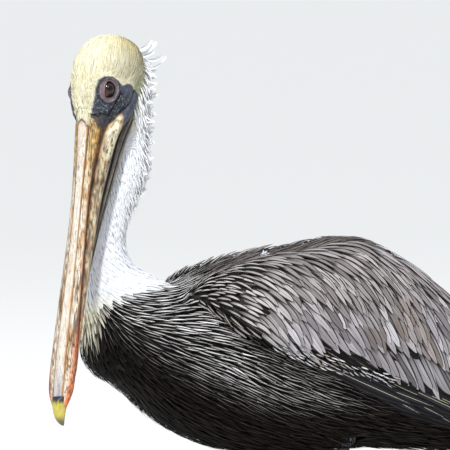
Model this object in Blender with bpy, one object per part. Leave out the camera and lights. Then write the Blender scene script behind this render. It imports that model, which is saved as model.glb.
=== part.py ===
"""A brown pelican at rest, life size, in metres.

The body faces -Y, its left side is +X and the floor is z = 0. The head and bill are modelled level,
facing -Y from the root of the bill, and are then bowed and turned as one by an empty, head_pose.
The flesh (trunk, neck and head) is one mesh that thin cuts divide; wings, tail, bill, eyes and thighs
each lie in a seat cut in it."""

import math

import bmesh
import bpy
import numpy as np
from mathutils import Matrix, Vector
from mathutils.geometry import interpolate_bezier

# ---- driving dimensions -------------------------------------------------------------------------

GAP = 0.0003  # clearance between neighbouring pieces
BILL_LENGTH = 0.306  # feather edge on the ridge to the tip of the hook
BILL_ROOT = Vector((0.030, -0.2366, 0.4234))  # where the ridge of the bill leaves the forehead
HEAD_TURN = math.radians(30.6)  # the head is turned to its left
HEAD_BOW = math.radians(75.4)  # the bill is lowered from the level
HEAD_SWING = math.radians(6.4)  # and swung a little to the left
EYE_RADIUS = 0.0085
EYE_BACK, EYE_DOWN, EYE_OUT = 0.0285, 0.0112, 0.0190  # eyeball centre from the bill root
ORBIT_RADIUS, ORBIT_OUT = 0.0165, 0.0415
TAIL_PITCH = math.radians(-18)
ANKLE = Vector((0.050, 0.029, 0.090))
TARSUS_FOOT = Vector((0.050, 0.006, 0.012))
FOOT_SPLAY = math.radians(9)
WEB_THICKNESS = 0.0028
FLESH_VOXEL = 0.0044
FLESH_KEPT = 0.03743  # share of the flesh's triangles that is kept

# Sections: distance back, top, bottom, half width.
TRUNK = (
    (-0.229, 0.205, 0.184, 0.012),
    (-0.216, 0.238, 0.165, 0.042),
    (-0.190, 0.246, 0.1505, 0.062),
    (-0.150, 0.250, 0.1155, 0.077),
    (-0.100, 0.267, 0.0910, 0.085),
    (-0.050, 0.280, 0.0815, 0.088),
    (0.000, 0.2880, 0.0790, 0.087),
    (0.035, 0.2970, 0.0822, 0.0845),
    (0.065, 0.2970, 0.0850, 0.0815),
    (0.090, 0.2845, 0.0820, 0.0760),
    (0.125, 0.2610, 0.0790, 0.0675),
    (0.150, 0.2370, 0.0770, 0.0600),
    (0.200, 0.184, 0.0730, 0.043),
    (0.236, 0.132, 0.0660, 0.024),
    (0.246, 0.110, 0.0760, 0.008),
)
HEAD = (
    (0.0912, -0.0280, -0.0460, 0.0080),
    (0.0890, -0.0195, -0.0550, 0.0155),
    (0.0835, -0.0100, -0.0640, 0.0222),
    (0.0750, -0.0020, -0.0710, 0.0272),
    (0.0600, 0.0060, -0.0725, 0.0304),
    (0.0450, 0.0090, -0.068, 0.0315),
    (0.0300, 0.0086, -0.062, 0.0300),
    (0.0150, 0.0060, -0.056, 0.0265),
    (0.0000, 0.0018, -0.049, 0.0215),
    (-0.0080, -0.006, -0.040, 0.0140),
)
# The neck: centre line from inside the head to inside the breast, with its radius.
NECK = (
    ((-0.004, -0.192, 0.474), 0.0230),
    ((-0.0135, -0.1790, 0.4600), 0.0258),
    ((-0.012, -0.1800, 0.4370), 0.0245),
    ((-0.010, -0.1820, 0.3980), 0.0240),
    ((-0.008, -0.1815, 0.3740), 0.0240),
    ((-0.005, -0.1895, 0.3560), 0.0238),
    ((-0.002, -0.1985, 0.3360), 0.0238),
    ((0.000, -0.2046, 0.3150), 0.0240),
    ((0.000, -0.2075, 0.2900), 0.0265),
    ((0.000, -0.2050, 0.2690), 0.0320),
    ((0.000, -0.1960, 0.2450), 0.0450),
    ((0.000, -0.1750, 0.2150), 0.0580),
)
NECK_FOOT = (0.0, -0.200, 0.250)  # where the white of the neck gives way to the breast
# The folded wing: distance back, then the angles from the spine down the flank between which it lies,
# and how far it stands off the body.
WING = (
    (-0.134, 30.0, 36.0, 0.004),
    (-0.130, 24.0, 43.0, 0.008),
    (-0.121, 17.0, 53.0, 0.0115),
    (-0.107, 11.0, 66.0, 0.014),
    (-0.091, 8.0, 77.0, 0.0155),
    (-0.045, 5.5, 91.0, 0.0165),
    (0.045, 5.0, 111.0, 0.0155),
    (0.138, 6.0, 128.0, 0.0145),
    (0.200, 6.0, 115.0, 0.0130),
    (0.250, 7.0, 104.0, 0.0105),
    (0.300, 10.0, 98.0, 0.0075),
    (0.345, 20.0, 92.0, 0.0035),
    (0.356, 35.0, 70.0, 0.0015),
)
# The line along which the pale coverts end and the flight feathers show: a point and its slope.
COVERT_EDGE = (-0.032, 0.197)
COVERT_SLOPE = -0.335
WING_SEAT = 0.003  # how deep the wing's inner side lies in the body
# The form that the wings wrap: the trunk, carried on past the rump to the wing tips.
WRAPPED = TRUNK[2:12] + (
    (0.200, 0.184, 0.056, 0.046),
    (0.250, 0.132, 0.026, 0.044),
    (0.300, 0.092, 0.020, 0.034),
    (0.345, 0.066, 0.030, 0.020),
    (0.372, 0.052, 0.036, 0.008),
)
BILL_UPPER = (
    (0.012, 0.0010, -0.0225, 0.0190),
    (0.000, 0.0000, -0.0190, 0.0190),
    (-0.013, -0.0008, -0.0153, 0.0175),
    (-0.050, -0.0032, -0.0112, 0.0137),
    (-0.085, -0.0042, -0.0095, 0.0118),
    (-0.130, -0.0036, -0.0087, 0.0126),
    (-0.183, -0.0019, -0.0074, 0.0145),
    (-0.228, 0.0000, -0.0064, 0.0160),
    (-0.258, 0.0002, -0.0062, 0.0168),
    (-0.275, -0.0004, -0.0062, 0.0152),
    (-0.288, -0.0014, -0.0064, 0.0095),
)
BILL_LOWER = (
    (0.038, -0.044, -0.056, 0.0190),
    (0.030, -0.0385, -0.0585, 0.0268),
    (0.010, -0.0280, -0.0510, 0.0270),
    (-0.013, -0.0163, -0.0370, 0.0245),
    (-0.050, -0.0122, -0.0310, 0.0190),
    (-0.085, -0.0105, -0.0268, 0.0162),
    (-0.130, -0.0096, -0.0220, 0.0150),
    (-0.183, -0.0083, -0.0162, 0.0150),
    (-0.228, -0.0074, -0.0120, 0.0150),
    (-0.258, -0.0070, -0.0108, 0.0140),
    (-0.2835, -0.0072, -0.0094, 0.0070),
)
POUCH = (
    (0.030, -0.0560, -0.0670, 0.0120),
    (0.010, -0.0480, -0.0630, 0.0150),
    (-0.013, -0.0350, -0.0560, 0.0150),
    (-0.050, -0.0290, -0.0480, 0.0125),
    (-0.085, -0.0250, -0.0395, 0.0105),
    (-0.130, -0.0203, -0.0300, 0.0090),
    (-0.178, -0.0150, -0.0210, 0.0080),
    (-0.212, -0.0118, -0.0140, 0.0045),
)
TAIL = (
    (-0.030, 0.0060, -0.0060, 0.016),
    (0.000, 0.0055, -0.0060, 0.024),
    (0.045, 0.0035, -0.0045, 0.034),
    (0.095, 0.0022, -0.0028, 0.048),
    (0.132, 0.0014, -0.0020, 0.055),
    (0.148, 0.0008, -0.0014, 0.036),
)
THIGH = (  # down the leg: height, then half breadth across and half length fore and aft
    (0.128, 0.0200, 0.0340),
    (0.114, 0.0200, 0.0300),
    (0.104, 0.0165, 0.0235),
    (0.0955, 0.0105, 0.0135),
    (0.0915, 0.0078, 0.0095),
)
# Toes, inner to outer as on the left foot: heading from straight ahead (outwards), length, radius.
TOES = (
    ("hind", math.radians(-78), 0.036, 0.0042),
    ("inner", math.radians(-27), 0.072, 0.0048),
    ("middle", math.radians(0), 0.092, 0.0052),
    ("outer", math.radians(22), 0.094, 0.0048),
)
CLAW_LENGTH = 0.010
CREST_ROOT = ((0.0835, -0.0615), (0.0785, -0.0710), (0.071, -0.0810), (0.062, -0.0870))  # down the nape
CREST_SPIKES = (  # each feather of the crest: where it starts (back, up) and how far it reaches
    (0.0820, -0.0670, 0.0170, -0.0260),
    (0.0790, -0.0720, 0.0200, -0.0310),
    (0.0755, -0.0770, 0.0135, -0.0300),
    (0.0725, -0.0800, 0.0135, -0.0340),
    (0.0680, -0.0840, 0.0150, -0.0360),
)

COLOURS = {
    "plumage_dark": ((0.035, 0.030, 0.027), 0.75),
    "plumage_grey": ((0.33, 0.31, 0.30), 0.65),
    "plumage_white": ((0.86, 0.87, 0.88), 0.80),
    "plumage_cream": ((0.86, 0.82, 0.58), 0.75),
    "bill_horn": ((0.80, 0.66, 0.46), 0.40),
    "bill_nail": ((0.55, 0.50, 0.16), 0.35),
    "pouch_skin": ((0.10, 0.09, 0.09), 0.60),
    "eye": ((0.06, 0.03, 0.02), 0.08),
    "leg_skin": ((0.045, 0.045, 0.050), 0.50),
    "claw": ((0.02, 0.02, 0.02), 0.35),
}


# ---- tools ---------------------------------------------------------------------------------------


def clear_scene():
    for obj in list(bpy.data.objects):
        bpy.data.objects.remove(obj, do_unlink=True)


def material(name):
    """A Principled material from COLOURS."""
    found = bpy.data.materials.get(name)
    if found:
        return found
    colour, roughness = COLOURS[name]
    made = bpy.data.materials.new(name)
    made.use_nodes = True
    shader = made.node_tree.nodes["Principled BSDF"]
    shader.inputs["Base Color"].default_value = (*colour, 1.0)
    shader.inputs["Roughness"].default_value = roughness
    made.diffuse_color = (*colour, 1.0)
    return made


def new_object(name, mesh, finish):
    obj = bpy.data.objects.new(name, mesh)
    bpy.context.scene.collection.objects.link(obj)
    mesh.materials.clear()
    mesh.materials.append(material(finish))
    mesh.shade_smooth()
    return obj


def spline(rows, steps):
    """Rows read smoothly: a Catmull-Rom curve through them, steps points to each stretch."""
    table = np.array([np.hstack([np.ravel(v) for v in row]) for row in rows], float)
    ends = np.vstack([2 * table[0] - table[1], table, 2 * table[-1] - table[-2]])
    out = []
    for i in range(len(table) - 1):
        a, b, c, d = ends[i : i + 4]
        square = 2 * a - 5 * b + 4 * c - d
        cube = 3 * b - a - 3 * c + d
        for k in range(steps):
            t = k / steps
            out.append(0.5 * (2 * b + (c - a) * t + square * t**2 + cube * t**3))
    out.append(table[-1])
    return np.array(out)


def oval(top, bottom, half_width, count, power=2.3):
    """Points (x, z) round a superellipse, clockwise from the top as seen from in front."""
    points = []
    for i in range(count):
        a = 2 * math.pi * i / count
        s, c = math.sin(a), math.cos(a)
        x = half_width * math.copysign(abs(s) ** (2 / power), s)
        z = (top + bottom) / 2 + (top - bottom) / 2 * math.copysign(abs(c) ** (2 / power), c)
        points.append((x, z))
    return points


def horn_profile(top, bottom, half_width, count):
    """Points (x, z) of the upper bill: a rounded ridge between grooves, sloping sides and a flat base."""
    tall = top - bottom
    ridge = ((0.00, 1.00), (0.22, 0.97), (0.34, 0.86), (0.39, 0.72))
    slope = ((0.45, 0.76), (0.70, 0.62), (0.90, 0.38), (1.00, 0.14), (0.97, 0.02), (0.80, 0.00))
    right = [(half_width * x, bottom + tall * z) for x, z in ridge + slope]
    base = [(half_width * x, bottom) for x in (0.4, 0.0, -0.4)]
    return right + base + [(-x, z) for x, z in reversed(right[1:])]


def skin_over(name, rings, finish):
    """A closed mesh through rings of points, each end closed on its middle."""
    mesh = bmesh.new()
    loops = [[mesh.verts.new(p) for p in ring] for ring in rings]
    for a, b in zip(loops, loops[1:]):
        for i in range(len(a)):
            j = (i + 1) % len(a)
            mesh.faces.new((a[i], a[j], b[j], b[i]))
    for loop in (loops[0], loops[-1]):
        middle = mesh.verts.new(sum((v.co for v in loop), Vector()) / len(loop))
        for i in range(len(loop)):
            mesh.faces.new((loop[i], loop[(i + 1) % len(loop)], middle))
    bmesh.ops.recalc_face_normals(mesh, faces=mesh.faces)
    data = bpy.data.meshes.new(name)
    mesh.to_mesh(data)
    mesh.free()
    return new_object(name, data, finish)


def loft(name, sections, finish, steps=2, count=24, profile=oval):
    """A body through sections (distance back, top, bottom, half width), in its own level frame."""
    rings = []
    for back, top, bottom, half_width in spline(sections, steps).tolist():
        rings.append([Vector((x, back, z)) for x, z in profile(top, bottom, half_width, count)])
    return skin_over(name, rings, finish)


def tube(name, line, finish, steps=3, count=24):
    """A round body along a centre line of (point, radius)."""
    rows = spline(line, steps).tolist()
    points = [Vector(row[:3]) for row in rows]
    rings = []
    across = Vector((1, 0, 0))
    for i, (point, row) in enumerate(zip(points, rows)):
        heading = (points[min(i + 1, len(points) - 1)] - points[max(i - 1, 0)]).normalized()
        side = heading.cross(across).normalized()
        across = side.cross(heading).normalized()
        turns = [2 * math.pi * k / count for k in range(count)]
        rings.append([point + row[3] * (math.cos(a) * across + math.sin(a) * side) for a in turns])
    return skin_over(name, rings, finish)


def apply_modifiers(obj):
    """The object's mesh becomes what its modifiers make of it."""
    graph = bpy.context.evaluated_depsgraph_get()
    shaped = bpy.data.meshes.new_from_object(obj.evaluated_get(graph))
    obj.modifiers.clear()
    obj.data = shaped
    return obj


def boolean(obj, other, operation):
    step = obj.modifiers.new(operation.title(), "BOOLEAN")
    step.operation = operation
    step.solver = "EXACT"
    step.object = other
    bpy.context.view_layer.update()
    return apply_modifiers(obj)


def grown(obj, by=GAP):
    """A copy in world space with every face moved outwards, for cutting a seat."""
    copy = bpy.data.objects.new(obj.name + "_seat", obj.data.copy())
    bpy.context.scene.collection.objects.link(copy)
    bpy.context.view_layer.update()
    copy.data.transform(obj.matrix_world)
    mesh = bmesh.new()
    mesh.from_mesh(copy.data)
    mesh.normal_update()
    moves = [v.normal * (by * min(v.calc_shell_factor(), 2.0)) for v in mesh.verts]
    for v, move in zip(mesh.verts, moves):
        v.co += move
    mesh.to_mesh(copy.data)
    mesh.free()
    return copy


def cut_seat(body, part, by=GAP):
    """Takes the part's shape, with a little clearance, out of the body."""
    cutter = grown(part, by)
    boolean(body, cutter, "DIFFERENCE")
    bpy.data.objects.remove(cutter)


def joined(name, parts, finish):
    """One object with the meshes of several, in world space. The parts are removed."""
    bpy.context.view_layer.update()
    mesh = bmesh.new()
    for part in parts:
        copy = part.data.copy()
        copy.transform(part.matrix_world)
        mesh.from_mesh(copy)
        bpy.data.objects.remove(part)
    data = bpy.data.meshes.new(name)
    mesh.to_mesh(data)
    mesh.free()
    return new_object(name, data, finish)


def half_space(point, normal):
    """A two-metre block that fills the side of a plane away from the normal."""
    mesh = bmesh.new()
    bmesh.ops.create_cube(mesh, size=2.0)
    turn = Vector((0, 0, 1)).rotation_difference(normal).to_matrix().to_4x4()
    place = Matrix.Translation(point - normal) @ turn
    data = bpy.data.meshes.new("half_space")
    mesh.to_mesh(data)
    mesh.free()
    data.transform(place)
    block = bpy.data.objects.new("half_space", data)
    bpy.context.scene.collection.objects.link(block)
    return block


def sliced(obj, name, point, normal, finish):
    """Parts obj by a plane. What lies on the normal's side becomes a new object, a gap away."""
    other = new_object(name, obj.data.copy(), finish)
    normal = Vector(normal).normalized()
    for piece, side in ((obj, 1), (other, -1)):
        block = half_space(Vector(point) - normal * (side * GAP / 2), normal * side)
        boolean(piece, block, "INTERSECT")
        bpy.data.objects.remove(block)
    return other


def mirrored(obj, name):
    """A mirror image of obj on the bird's other side."""
    data = obj.data.copy()
    data.transform(Matrix.Diagonal((-1, 1, 1, 1)))
    data.flip_normals()
    return new_object(name, data, obj.data.materials[0].name)


# ---- the head's pose ------------------------------------------------------------------------------


def pose_empty():
    """The empty that carries what is modelled level at the root of the bill."""
    empty = bpy.data.objects.new("head_pose", None)
    bpy.context.scene.collection.objects.link(empty)
    turn = Matrix.Rotation(HEAD_TURN, 4, "Z")
    bow = Matrix.Rotation(HEAD_BOW, 4, "X")
    swing = Matrix.Rotation(HEAD_SWING, 4, "Z")
    empty.matrix_world = Matrix.Translation(BILL_ROOT) @ turn @ bow @ swing
    return empty


def carried(obj, empty):
    obj.parent = empty
    bpy.context.view_layer.update()
    return obj


# ---- flesh ----------------------------------------------------------------------------------------


def flesh(head_pose):
    """Trunk, neck and head as one smooth body."""
    trunk = loft("trunk_form", TRUNK, "plumage_dark", steps=4, count=40)
    neck = tube("neck_form", NECK, "plumage_white", steps=4)
    head = carried(loft("head_form", HEAD, "plumage_cream", steps=4, count=32), head_pose)
    body = joined("trunk", [trunk, neck, head], "plumage_dark")
    remesh = body.modifiers.new("One body", "REMESH")
    remesh.mode = "VOXEL"
    remesh.voxel_size = FLESH_VOXEL
    smooth = body.modifiers.new("Soften", "SMOOTH")
    smooth.factor = 0.5
    smooth.iterations = 5
    fewer = body.modifiers.new("Fewer faces", "DECIMATE")
    fewer.ratio = FLESH_KEPT
    return apply_modifiers(body)


def divide_flesh(body, head_pose):
    """Thin cuts part the head, two lengths of neck and the trunk."""
    pose = head_pose.matrix_world.to_3x3()
    forward, up = pose @ Vector((0, -1, 0)), pose @ Vector((0, 0, 1))
    points = [Vector(p) for p, _ in NECK]
    neck_lower = sliced(body, "neck_lower", NECK_FOOT, (0, -0.37, 0.93), "plumage_white")
    neck_upper = sliced(neck_lower, "neck_upper", points[5], points[4] - points[6], "plumage_white")
    head = sliced(neck_upper, "head", points[2], 0.7 * up - 0.5 * forward, "plumage_cream")
    return head, neck_upper, neck_lower


# ---- wings and tail -------------------------------------------------------------------------------


def wrapped_form():
    """The wrapped form's sections, ready to be read at any distance back."""
    rows = spline(WRAPPED, 8)
    return rows[np.argsort(rows[:, 0])]


def wing():
    """The left wing: a shield over back and flank, its rim sunk in the body."""
    form = wrapped_form()
    around, power = 9, 2.3
    rings = []
    for back, high, low, stand in spline(WING, 2).tolist():
        top, bottom, half = (float(np.interp(back, form[:, 0], form[:, k])) for k in (1, 2, 3))
        middle, tall = (top + bottom) / 2, (top - bottom) / 2
        outer, inner = [], []
        for i in range(around):
            share = i / (around - 1)
            a = math.radians(high + (low - high) * share)
            s, c = max(math.sin(a), 0.0), math.cos(a)
            x = half * s ** (2 / power)
            z = middle + tall * math.copysign(abs(c) ** (2 / power), c)
            lean = Vector((x / half**2, 0, (z - middle) / tall**2)).normalized()
            arch = (1 - abs(2 * share - 1) ** 5) ** 0.5 * min(1.0, 0.45 + 1.6 * share)
            point = Vector((x, back, z))
            outer.append(point + lean * ((stand + WING_SEAT) * arch - WING_SEAT))
            inner.append(point - lean * WING_SEAT * (1.0 + 0.15 * arch))
        rings.append(outer + inner[-2:0:-1])
    for ring in rings:
        for point in ring:
            point.x = max(point.x, 0.0012)
    return skin_over("wing_left", rings, "plumage_grey")


def wings(body):
    """Both wings, fitted to the body and parted along the edge of the coverts."""
    left = wing()
    right = mirrored(left, "wing_right")
    for shield in (left, right):
        cut_seat(shield, body)
        name = shield.name.replace("wing", "flight")
        sliced(shield, name, (0, *COVERT_EDGE), (0, COVERT_SLOPE, -1), "plumage_dark")


def tail():
    """A short fan of stiff feathers behind the rump."""
    fan = loft("tail", TAIL, "plumage_dark", steps=1, count=16)
    fan.location = (0, 0.222, 0.068)
    fan.rotation_euler.x = TAIL_PITCH
    bpy.context.view_layer.update()
    return fan


# ---- bill, pouch, eyes, crest ---------------------------------------------------------------------


def nail(head_pose):
    """The hooked nail that ends the upper bill."""
    line = (
        ((0, -0.2845, -0.0050), 0.0072),
        ((0, -0.2925, -0.0052), 0.0062),
        ((0, -0.2990, -0.0068), 0.0048),
        ((0, -0.3035, -0.0095), 0.0030),
        ((0, -BILL_LENGTH, -0.0125), 0.0012),
    )
    return carried(tube("bill_nail", line, "bill_nail", steps=1, count=10), head_pose)


def eye(head_pose, name, side):
    """An eyeball, a little over a third of it clear of the head."""
    data = bpy.data.meshes.new(name)
    mesh = bmesh.new()
    bmesh.ops.create_uvsphere(mesh, u_segments=12, v_segments=8, radius=EYE_RADIUS)
    mesh.to_mesh(data)
    mesh.free()
    ball = new_object(name, data, "eye")
    ball.location = (side * EYE_OUT, EYE_BACK, -EYE_DOWN)
    return carried(ball, head_pose)


def cut_orbit(body, head_pose, side):
    """A shallow saucer in the head round an eye, which the bare ring of skin lines."""
    data = bpy.data.meshes.new("orbit")
    mesh = bmesh.new()
    bmesh.ops.create_uvsphere(mesh, u_segments=16, v_segments=10, radius=ORBIT_RADIUS)
    mesh.to_mesh(data)
    mesh.free()
    hollow = new_object("orbit", data, "eye")
    hollow.location = (side * ORBIT_OUT, EYE_BACK, -EYE_DOWN)
    carried(hollow, head_pose)
    cut_seat(body, hollow)
    bpy.data.objects.remove(hollow)


def crest(head_pose):
    """Loose pointed feathers on the nape, grown together at a ridge that is sunk in the neck."""
    thickness = (0.0035, 0.0055, 0.0055, 0.0035)
    line = [(Vector((0, back, up)), thick) for (back, up), thick in zip(CREST_ROOT, thickness)]
    ridge = tube("nape_crest", line, "plumage_white", steps=2, count=8)
    for back, up, reach, rise in CREST_SPIKES:
        start, aim = Vector((0, back, up)), Vector((0, reach, rise))
        bow = Vector((0, rise, -reach)) * -0.06
        line = ((start, 0.0036), (start + aim * 0.55 + bow, 0.0027), (start + aim, 0.0007))
        spike = tube("spike", line, "plumage_white", 1, 6)
        boolean(ridge, spike, "UNION")
        bpy.data.objects.remove(spike)
    return carried(ridge, head_pose)


def bill(head_pose):
    upper = carried(loft("bill_upper", BILL_UPPER, "bill_horn", steps=1, profile=horn_profile), head_pose)
    lower = carried(loft("bill_lower", BILL_LOWER, "bill_horn", steps=1, count=16), head_pose)
    pouch = carried(loft("pouch", POUCH, "pouch_skin", steps=1, count=12), head_pose)
    cut_local(lower, upper)
    cut_local(pouch, lower)
    hook = nail(head_pose)
    cut_local(hook, upper)
    return upper, lower, pouch, hook


def cut_local(body, part):
    """cut_seat for a body that its parent has moved: both are taken in world space."""
    parent = body.parent
    body.data.transform(body.matrix_world)
    body.parent = None
    body.matrix_world = Matrix.Identity(4)
    cut_seat(body, part)
    body.data.transform(parent.matrix_world.inverted())
    carried(body, parent)


# ---- legs -----------------------------------------------------------------------------------------


def thigh():
    """The feathered shank of the left leg, from the flank to the ankle."""
    rings = []
    for height, across, along in spline(THIGH, 2).tolist():
        share = (height - THIGH[-1][0]) / (THIGH[0][0] - THIGH[-1][0])
        middle = Vector((ANKLE.x - 0.008 * share, ANKLE.y - 0.010 * share, height))
        turns = [2 * math.pi * k / 12 for k in range(12)]
        rings.append([middle + Vector((across * math.cos(a), along * math.sin(a), 0)) for a in turns])
    return skin_over("thigh_left", rings, "plumage_dark")


def tarsus():
    """The bare lower leg, with the ankle's knob at its top, pressed flat from side to side."""
    drop = TARSUS_FOOT - ANKLE
    line = (
        (ANKLE + Vector((0, 0, 0.0010)), 0.0060),
        (ANKLE - Vector((0, 0, 0.0040)), 0.0078),
        (ANKLE + 0.16 * drop, 0.0066),
        (ANKLE + 0.45 * drop, 0.0054),
        (ANKLE + 0.80 * drop, 0.0058),
        (ANKLE + 0.97 * drop, 0.0070),
    )
    leg = tube("tarsus_left", line, "leg_skin", steps=1, count=12)
    for v in leg.data.vertices:
        v.co.x = ANKLE.x + (v.co.x - ANKLE.x) * 0.78
    return leg


def toe_line(heading, length, radius):
    """A toe from the ball of the foot out: two low joints, then down to the claw."""
    ball = Vector((TARSUS_FOOT.x, TARSUS_FOOT.y - 0.002, 0))
    aim = Vector((math.sin(heading), -math.cos(heading), 0))
    aim.rotate(Matrix.Rotation(FOOT_SPLAY, 3, "Z"))
    shape = ((0.00, 1.10), (0.33, 0.95), (0.48, 0.80), (0.64, 0.98), (0.84, 0.76), (1.00, 0.62))
    line = []
    for far, share in shape:
        thick = radius * share
        line.append((ball + aim * (length * far) + Vector((0, 0, thick)), thick))
    return line


def web(ends):
    """The web that joins all four toes: a thin plate with hollow edges between the toe tips."""
    heel = Vector((TARSUS_FOOT.x + 0.002, TARSUS_FOOT.y + 0.006, 0))
    outline = [heel]
    for a, b in zip(ends, ends[1:]):
        hollow = (a + b) / 2 * 0.80 + heel * 0.20
        outline += interpolate_bezier(a, a.lerp(hollow, 0.7), b.lerp(hollow, 0.7), b, 6)[:-1]
    outline.append(ends[-1])
    mesh = bmesh.new()
    face = mesh.faces.new([mesh.verts.new((p.x, p.y, 0)) for p in outline])
    if face.normal.z < 0:
        face.normal_flip()
    raised = bmesh.ops.extrude_face_region(mesh, geom=[face])
    tops = [v for v in raised["geom"] if isinstance(v, bmesh.types.BMVert)]
    bmesh.ops.translate(mesh, vec=(0, 0, WEB_THICKNESS), verts=tops)
    bmesh.ops.recalc_face_normals(mesh, faces=mesh.faces)
    data = bpy.data.meshes.new("web")
    mesh.to_mesh(data)
    mesh.free()
    return new_object("web", data, "leg_skin")


def foot():
    """A paddle with all four toes webbed, flat underneath, and its four claws."""
    claws, ends = [], []
    lines = [toe_line(heading, length, radius) for _, heading, length, radius in TOES]
    for line in lines:
        ends.append(Vector((line[-1][0].x, line[-1][0].y, 0)))
    paddle = web(ends)
    for (toe, _, _, _), line in zip(TOES, lines):
        finger = tube("toe", line, "leg_skin", steps=1, count=8)
        boolean(paddle, finger, "UNION")
        bpy.data.objects.remove(finger)
        tip, thick = line[-1]
        aim = (tip - line[-2][0]).normalized()
        hook = (
            (tip + aim * 2 * GAP, thick * 0.85),
            (tip + aim * CLAW_LENGTH * 0.5, thick * 0.62),
            (tip + aim * CLAW_LENGTH - Vector((0, 0, thick * 0.40)), 0.0007),
        )
        claws.append(tube(f"claw_{toe}_left", hook, "claw", steps=1, count=6))
    ball = ((TARSUS_FOOT + Vector((0, 0, 0.004)), 0.0065), (TARSUS_FOOT - Vector((0, 0, 0.010)), 0.0085))
    knob = tube("knob", ball, "leg_skin", steps=1, count=12)
    boolean(paddle, knob, "UNION")
    bpy.data.objects.remove(knob)
    paddle.name = "foot_left"
    sole = sliced(paddle, "sole_waste", (0, 0, 0.0), (0, 0, -1), "leg_skin")
    bpy.data.objects.remove(sole)
    for v in paddle.data.vertices:
        v.co.z = max(v.co.z - GAP / 2, 0.0)
    return paddle, claws


def legs(neighbours):
    """Both legs: each thigh runs up to body and wing, and each foot lies flat on the floor."""
    shank, lower = thigh(), tarsus()
    for neighbour in neighbours:
        cut_seat(shank, neighbour)
    paddle, claws = foot()
    cut_seat(paddle, lower)
    cut_seat(lower, shank)
    for claw in claws:
        for v in claw.data.vertices:
            v.co.z = max(v.co.z, GAP)
    for piece in (shank, lower, paddle, *claws):
        mirrored(piece, piece.name.replace("_left", "_right"))


# ---- the bird -------------------------------------------------------------------------------------


def stand_on_origin():
    """Moves the whole bird so that the middle of its box stands over the origin."""
    bpy.context.view_layer.update()
    pieces = [o for o in bpy.data.objects if o.type == "MESH"]
    corners = [o.matrix_world @ v.co for o in pieces for v in o.data.vertices]
    middle_x = (min(c.x for c in corners) + max(c.x for c in corners)) / 2
    middle_y = (min(c.y for c in corners) + max(c.y for c in corners)) / 2
    for obj in bpy.data.objects:
        if obj.parent is None:
            obj.location -= Vector((middle_x, middle_y, 0))


def build():
    clear_scene()
    head_pose = pose_empty()
    body = flesh(head_pose)
    fan = tail()
    upper, lower, pouch, hook = bill(head_pose)
    eyes = [eye(head_pose, "eye_left", 1), eye(head_pose, "eye_right", -1)]
    tuft = crest(head_pose)
    for side in (1, -1):
        cut_orbit(body, head_pose, side)
    for part in (fan, upper, lower, pouch, *eyes, tuft):
        cut_seat(body, part)
    wings(body)
    legs((body, bpy.data.objects["flight_left"]))
    divide_flesh(body, head_pose)
    stand_on_origin()


build()
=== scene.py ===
"""The looks of a life-size brown pelican: bare skin, horn, eyes and a coat of feathers as mesh.

The bird faces -Y, its left side is +X and the floor is z = 0. Lengths are metres."""

import math

import bmesh
import bpy
import numpy as np
from mathutils import Matrix, Vector, noise
from mathutils.bvhtree import BVHTree


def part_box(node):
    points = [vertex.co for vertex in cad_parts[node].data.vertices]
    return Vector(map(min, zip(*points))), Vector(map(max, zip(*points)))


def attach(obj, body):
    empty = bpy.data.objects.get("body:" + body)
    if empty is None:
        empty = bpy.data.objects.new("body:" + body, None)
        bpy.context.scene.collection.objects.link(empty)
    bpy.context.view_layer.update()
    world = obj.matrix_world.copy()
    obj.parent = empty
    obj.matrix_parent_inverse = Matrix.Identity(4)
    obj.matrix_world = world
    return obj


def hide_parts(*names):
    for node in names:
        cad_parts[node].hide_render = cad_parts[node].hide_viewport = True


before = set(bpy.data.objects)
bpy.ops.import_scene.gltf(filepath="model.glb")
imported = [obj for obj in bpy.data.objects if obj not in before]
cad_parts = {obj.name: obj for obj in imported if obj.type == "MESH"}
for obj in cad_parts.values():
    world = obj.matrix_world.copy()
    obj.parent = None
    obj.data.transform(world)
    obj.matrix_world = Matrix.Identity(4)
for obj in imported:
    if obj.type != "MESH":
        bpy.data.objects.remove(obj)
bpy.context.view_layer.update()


# ---- floor, light and camera ---------------------------------------------------------------------
# A studio: a wide pale matt floor that runs up to the horizon, a broad soft light high on the bird's
# left, two softboxes on that side and one behind, and a bright room around.


def linear(code):
    """An sRGB colour such as "E8E4DC" as linear red, green and blue."""
    shares = [int(code[i : i + 2], 16) / 255 for i in (0, 2, 4)]
    return [s / 12.92 if s <= 0.04045 else ((s + 0.055) / 1.055) ** 2.4 for s in shares]


def add(tree, kind, links=(), values=(), **settings):
    """Adds a node to a tree: its settings, its fixed inputs, and what feeds its other inputs."""
    node = tree.nodes.new(kind)
    for key, value in settings.items():
        setattr(node, key, value)
    for key, value in dict(values).items():
        node.inputs[key].default_value = value
    for key, source in dict(links).items():
        tree.links.new(source, node.inputs[key])
    return node


def new_material(name):
    """A material with a Principled shader, its node tree and that shader."""
    made = bpy.data.materials.new(name)
    made.use_nodes = True
    return made, made.node_tree, made.node_tree.nodes["Principled BSDF"]


def new_object(name, data):
    """A new object in the scene, with this mesh, lamp or camera."""
    obj = bpy.data.objects.new(name, data)
    bpy.context.scene.collection.objects.link(obj)
    return obj


bpy.ops.object.select_all(action="DESELECT")
bpy.ops.mesh.primitive_plane_add(size=120, location=(0, 0, 0))
floor = bpy.context.object
floor.name = "floor"
paint, tree, shader = new_material("matt_studio_paint")
shader.inputs["Base Color"].default_value = (*linear("E6E6E4"), 1)
shader.inputs["Roughness"].default_value = 0.9
floor.data.materials.append(paint)

world = bpy.data.worlds.new("studio")
bpy.context.scene.world = world
world.use_nodes = True
world.node_tree.nodes["Background"].inputs["Color"].default_value = (*linear("E4EAF2"), 1)
world.node_tree.nodes["Background"].inputs["Strength"].default_value = 0.55
bpy.context.scene.view_settings.view_transform = "Standard"

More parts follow.
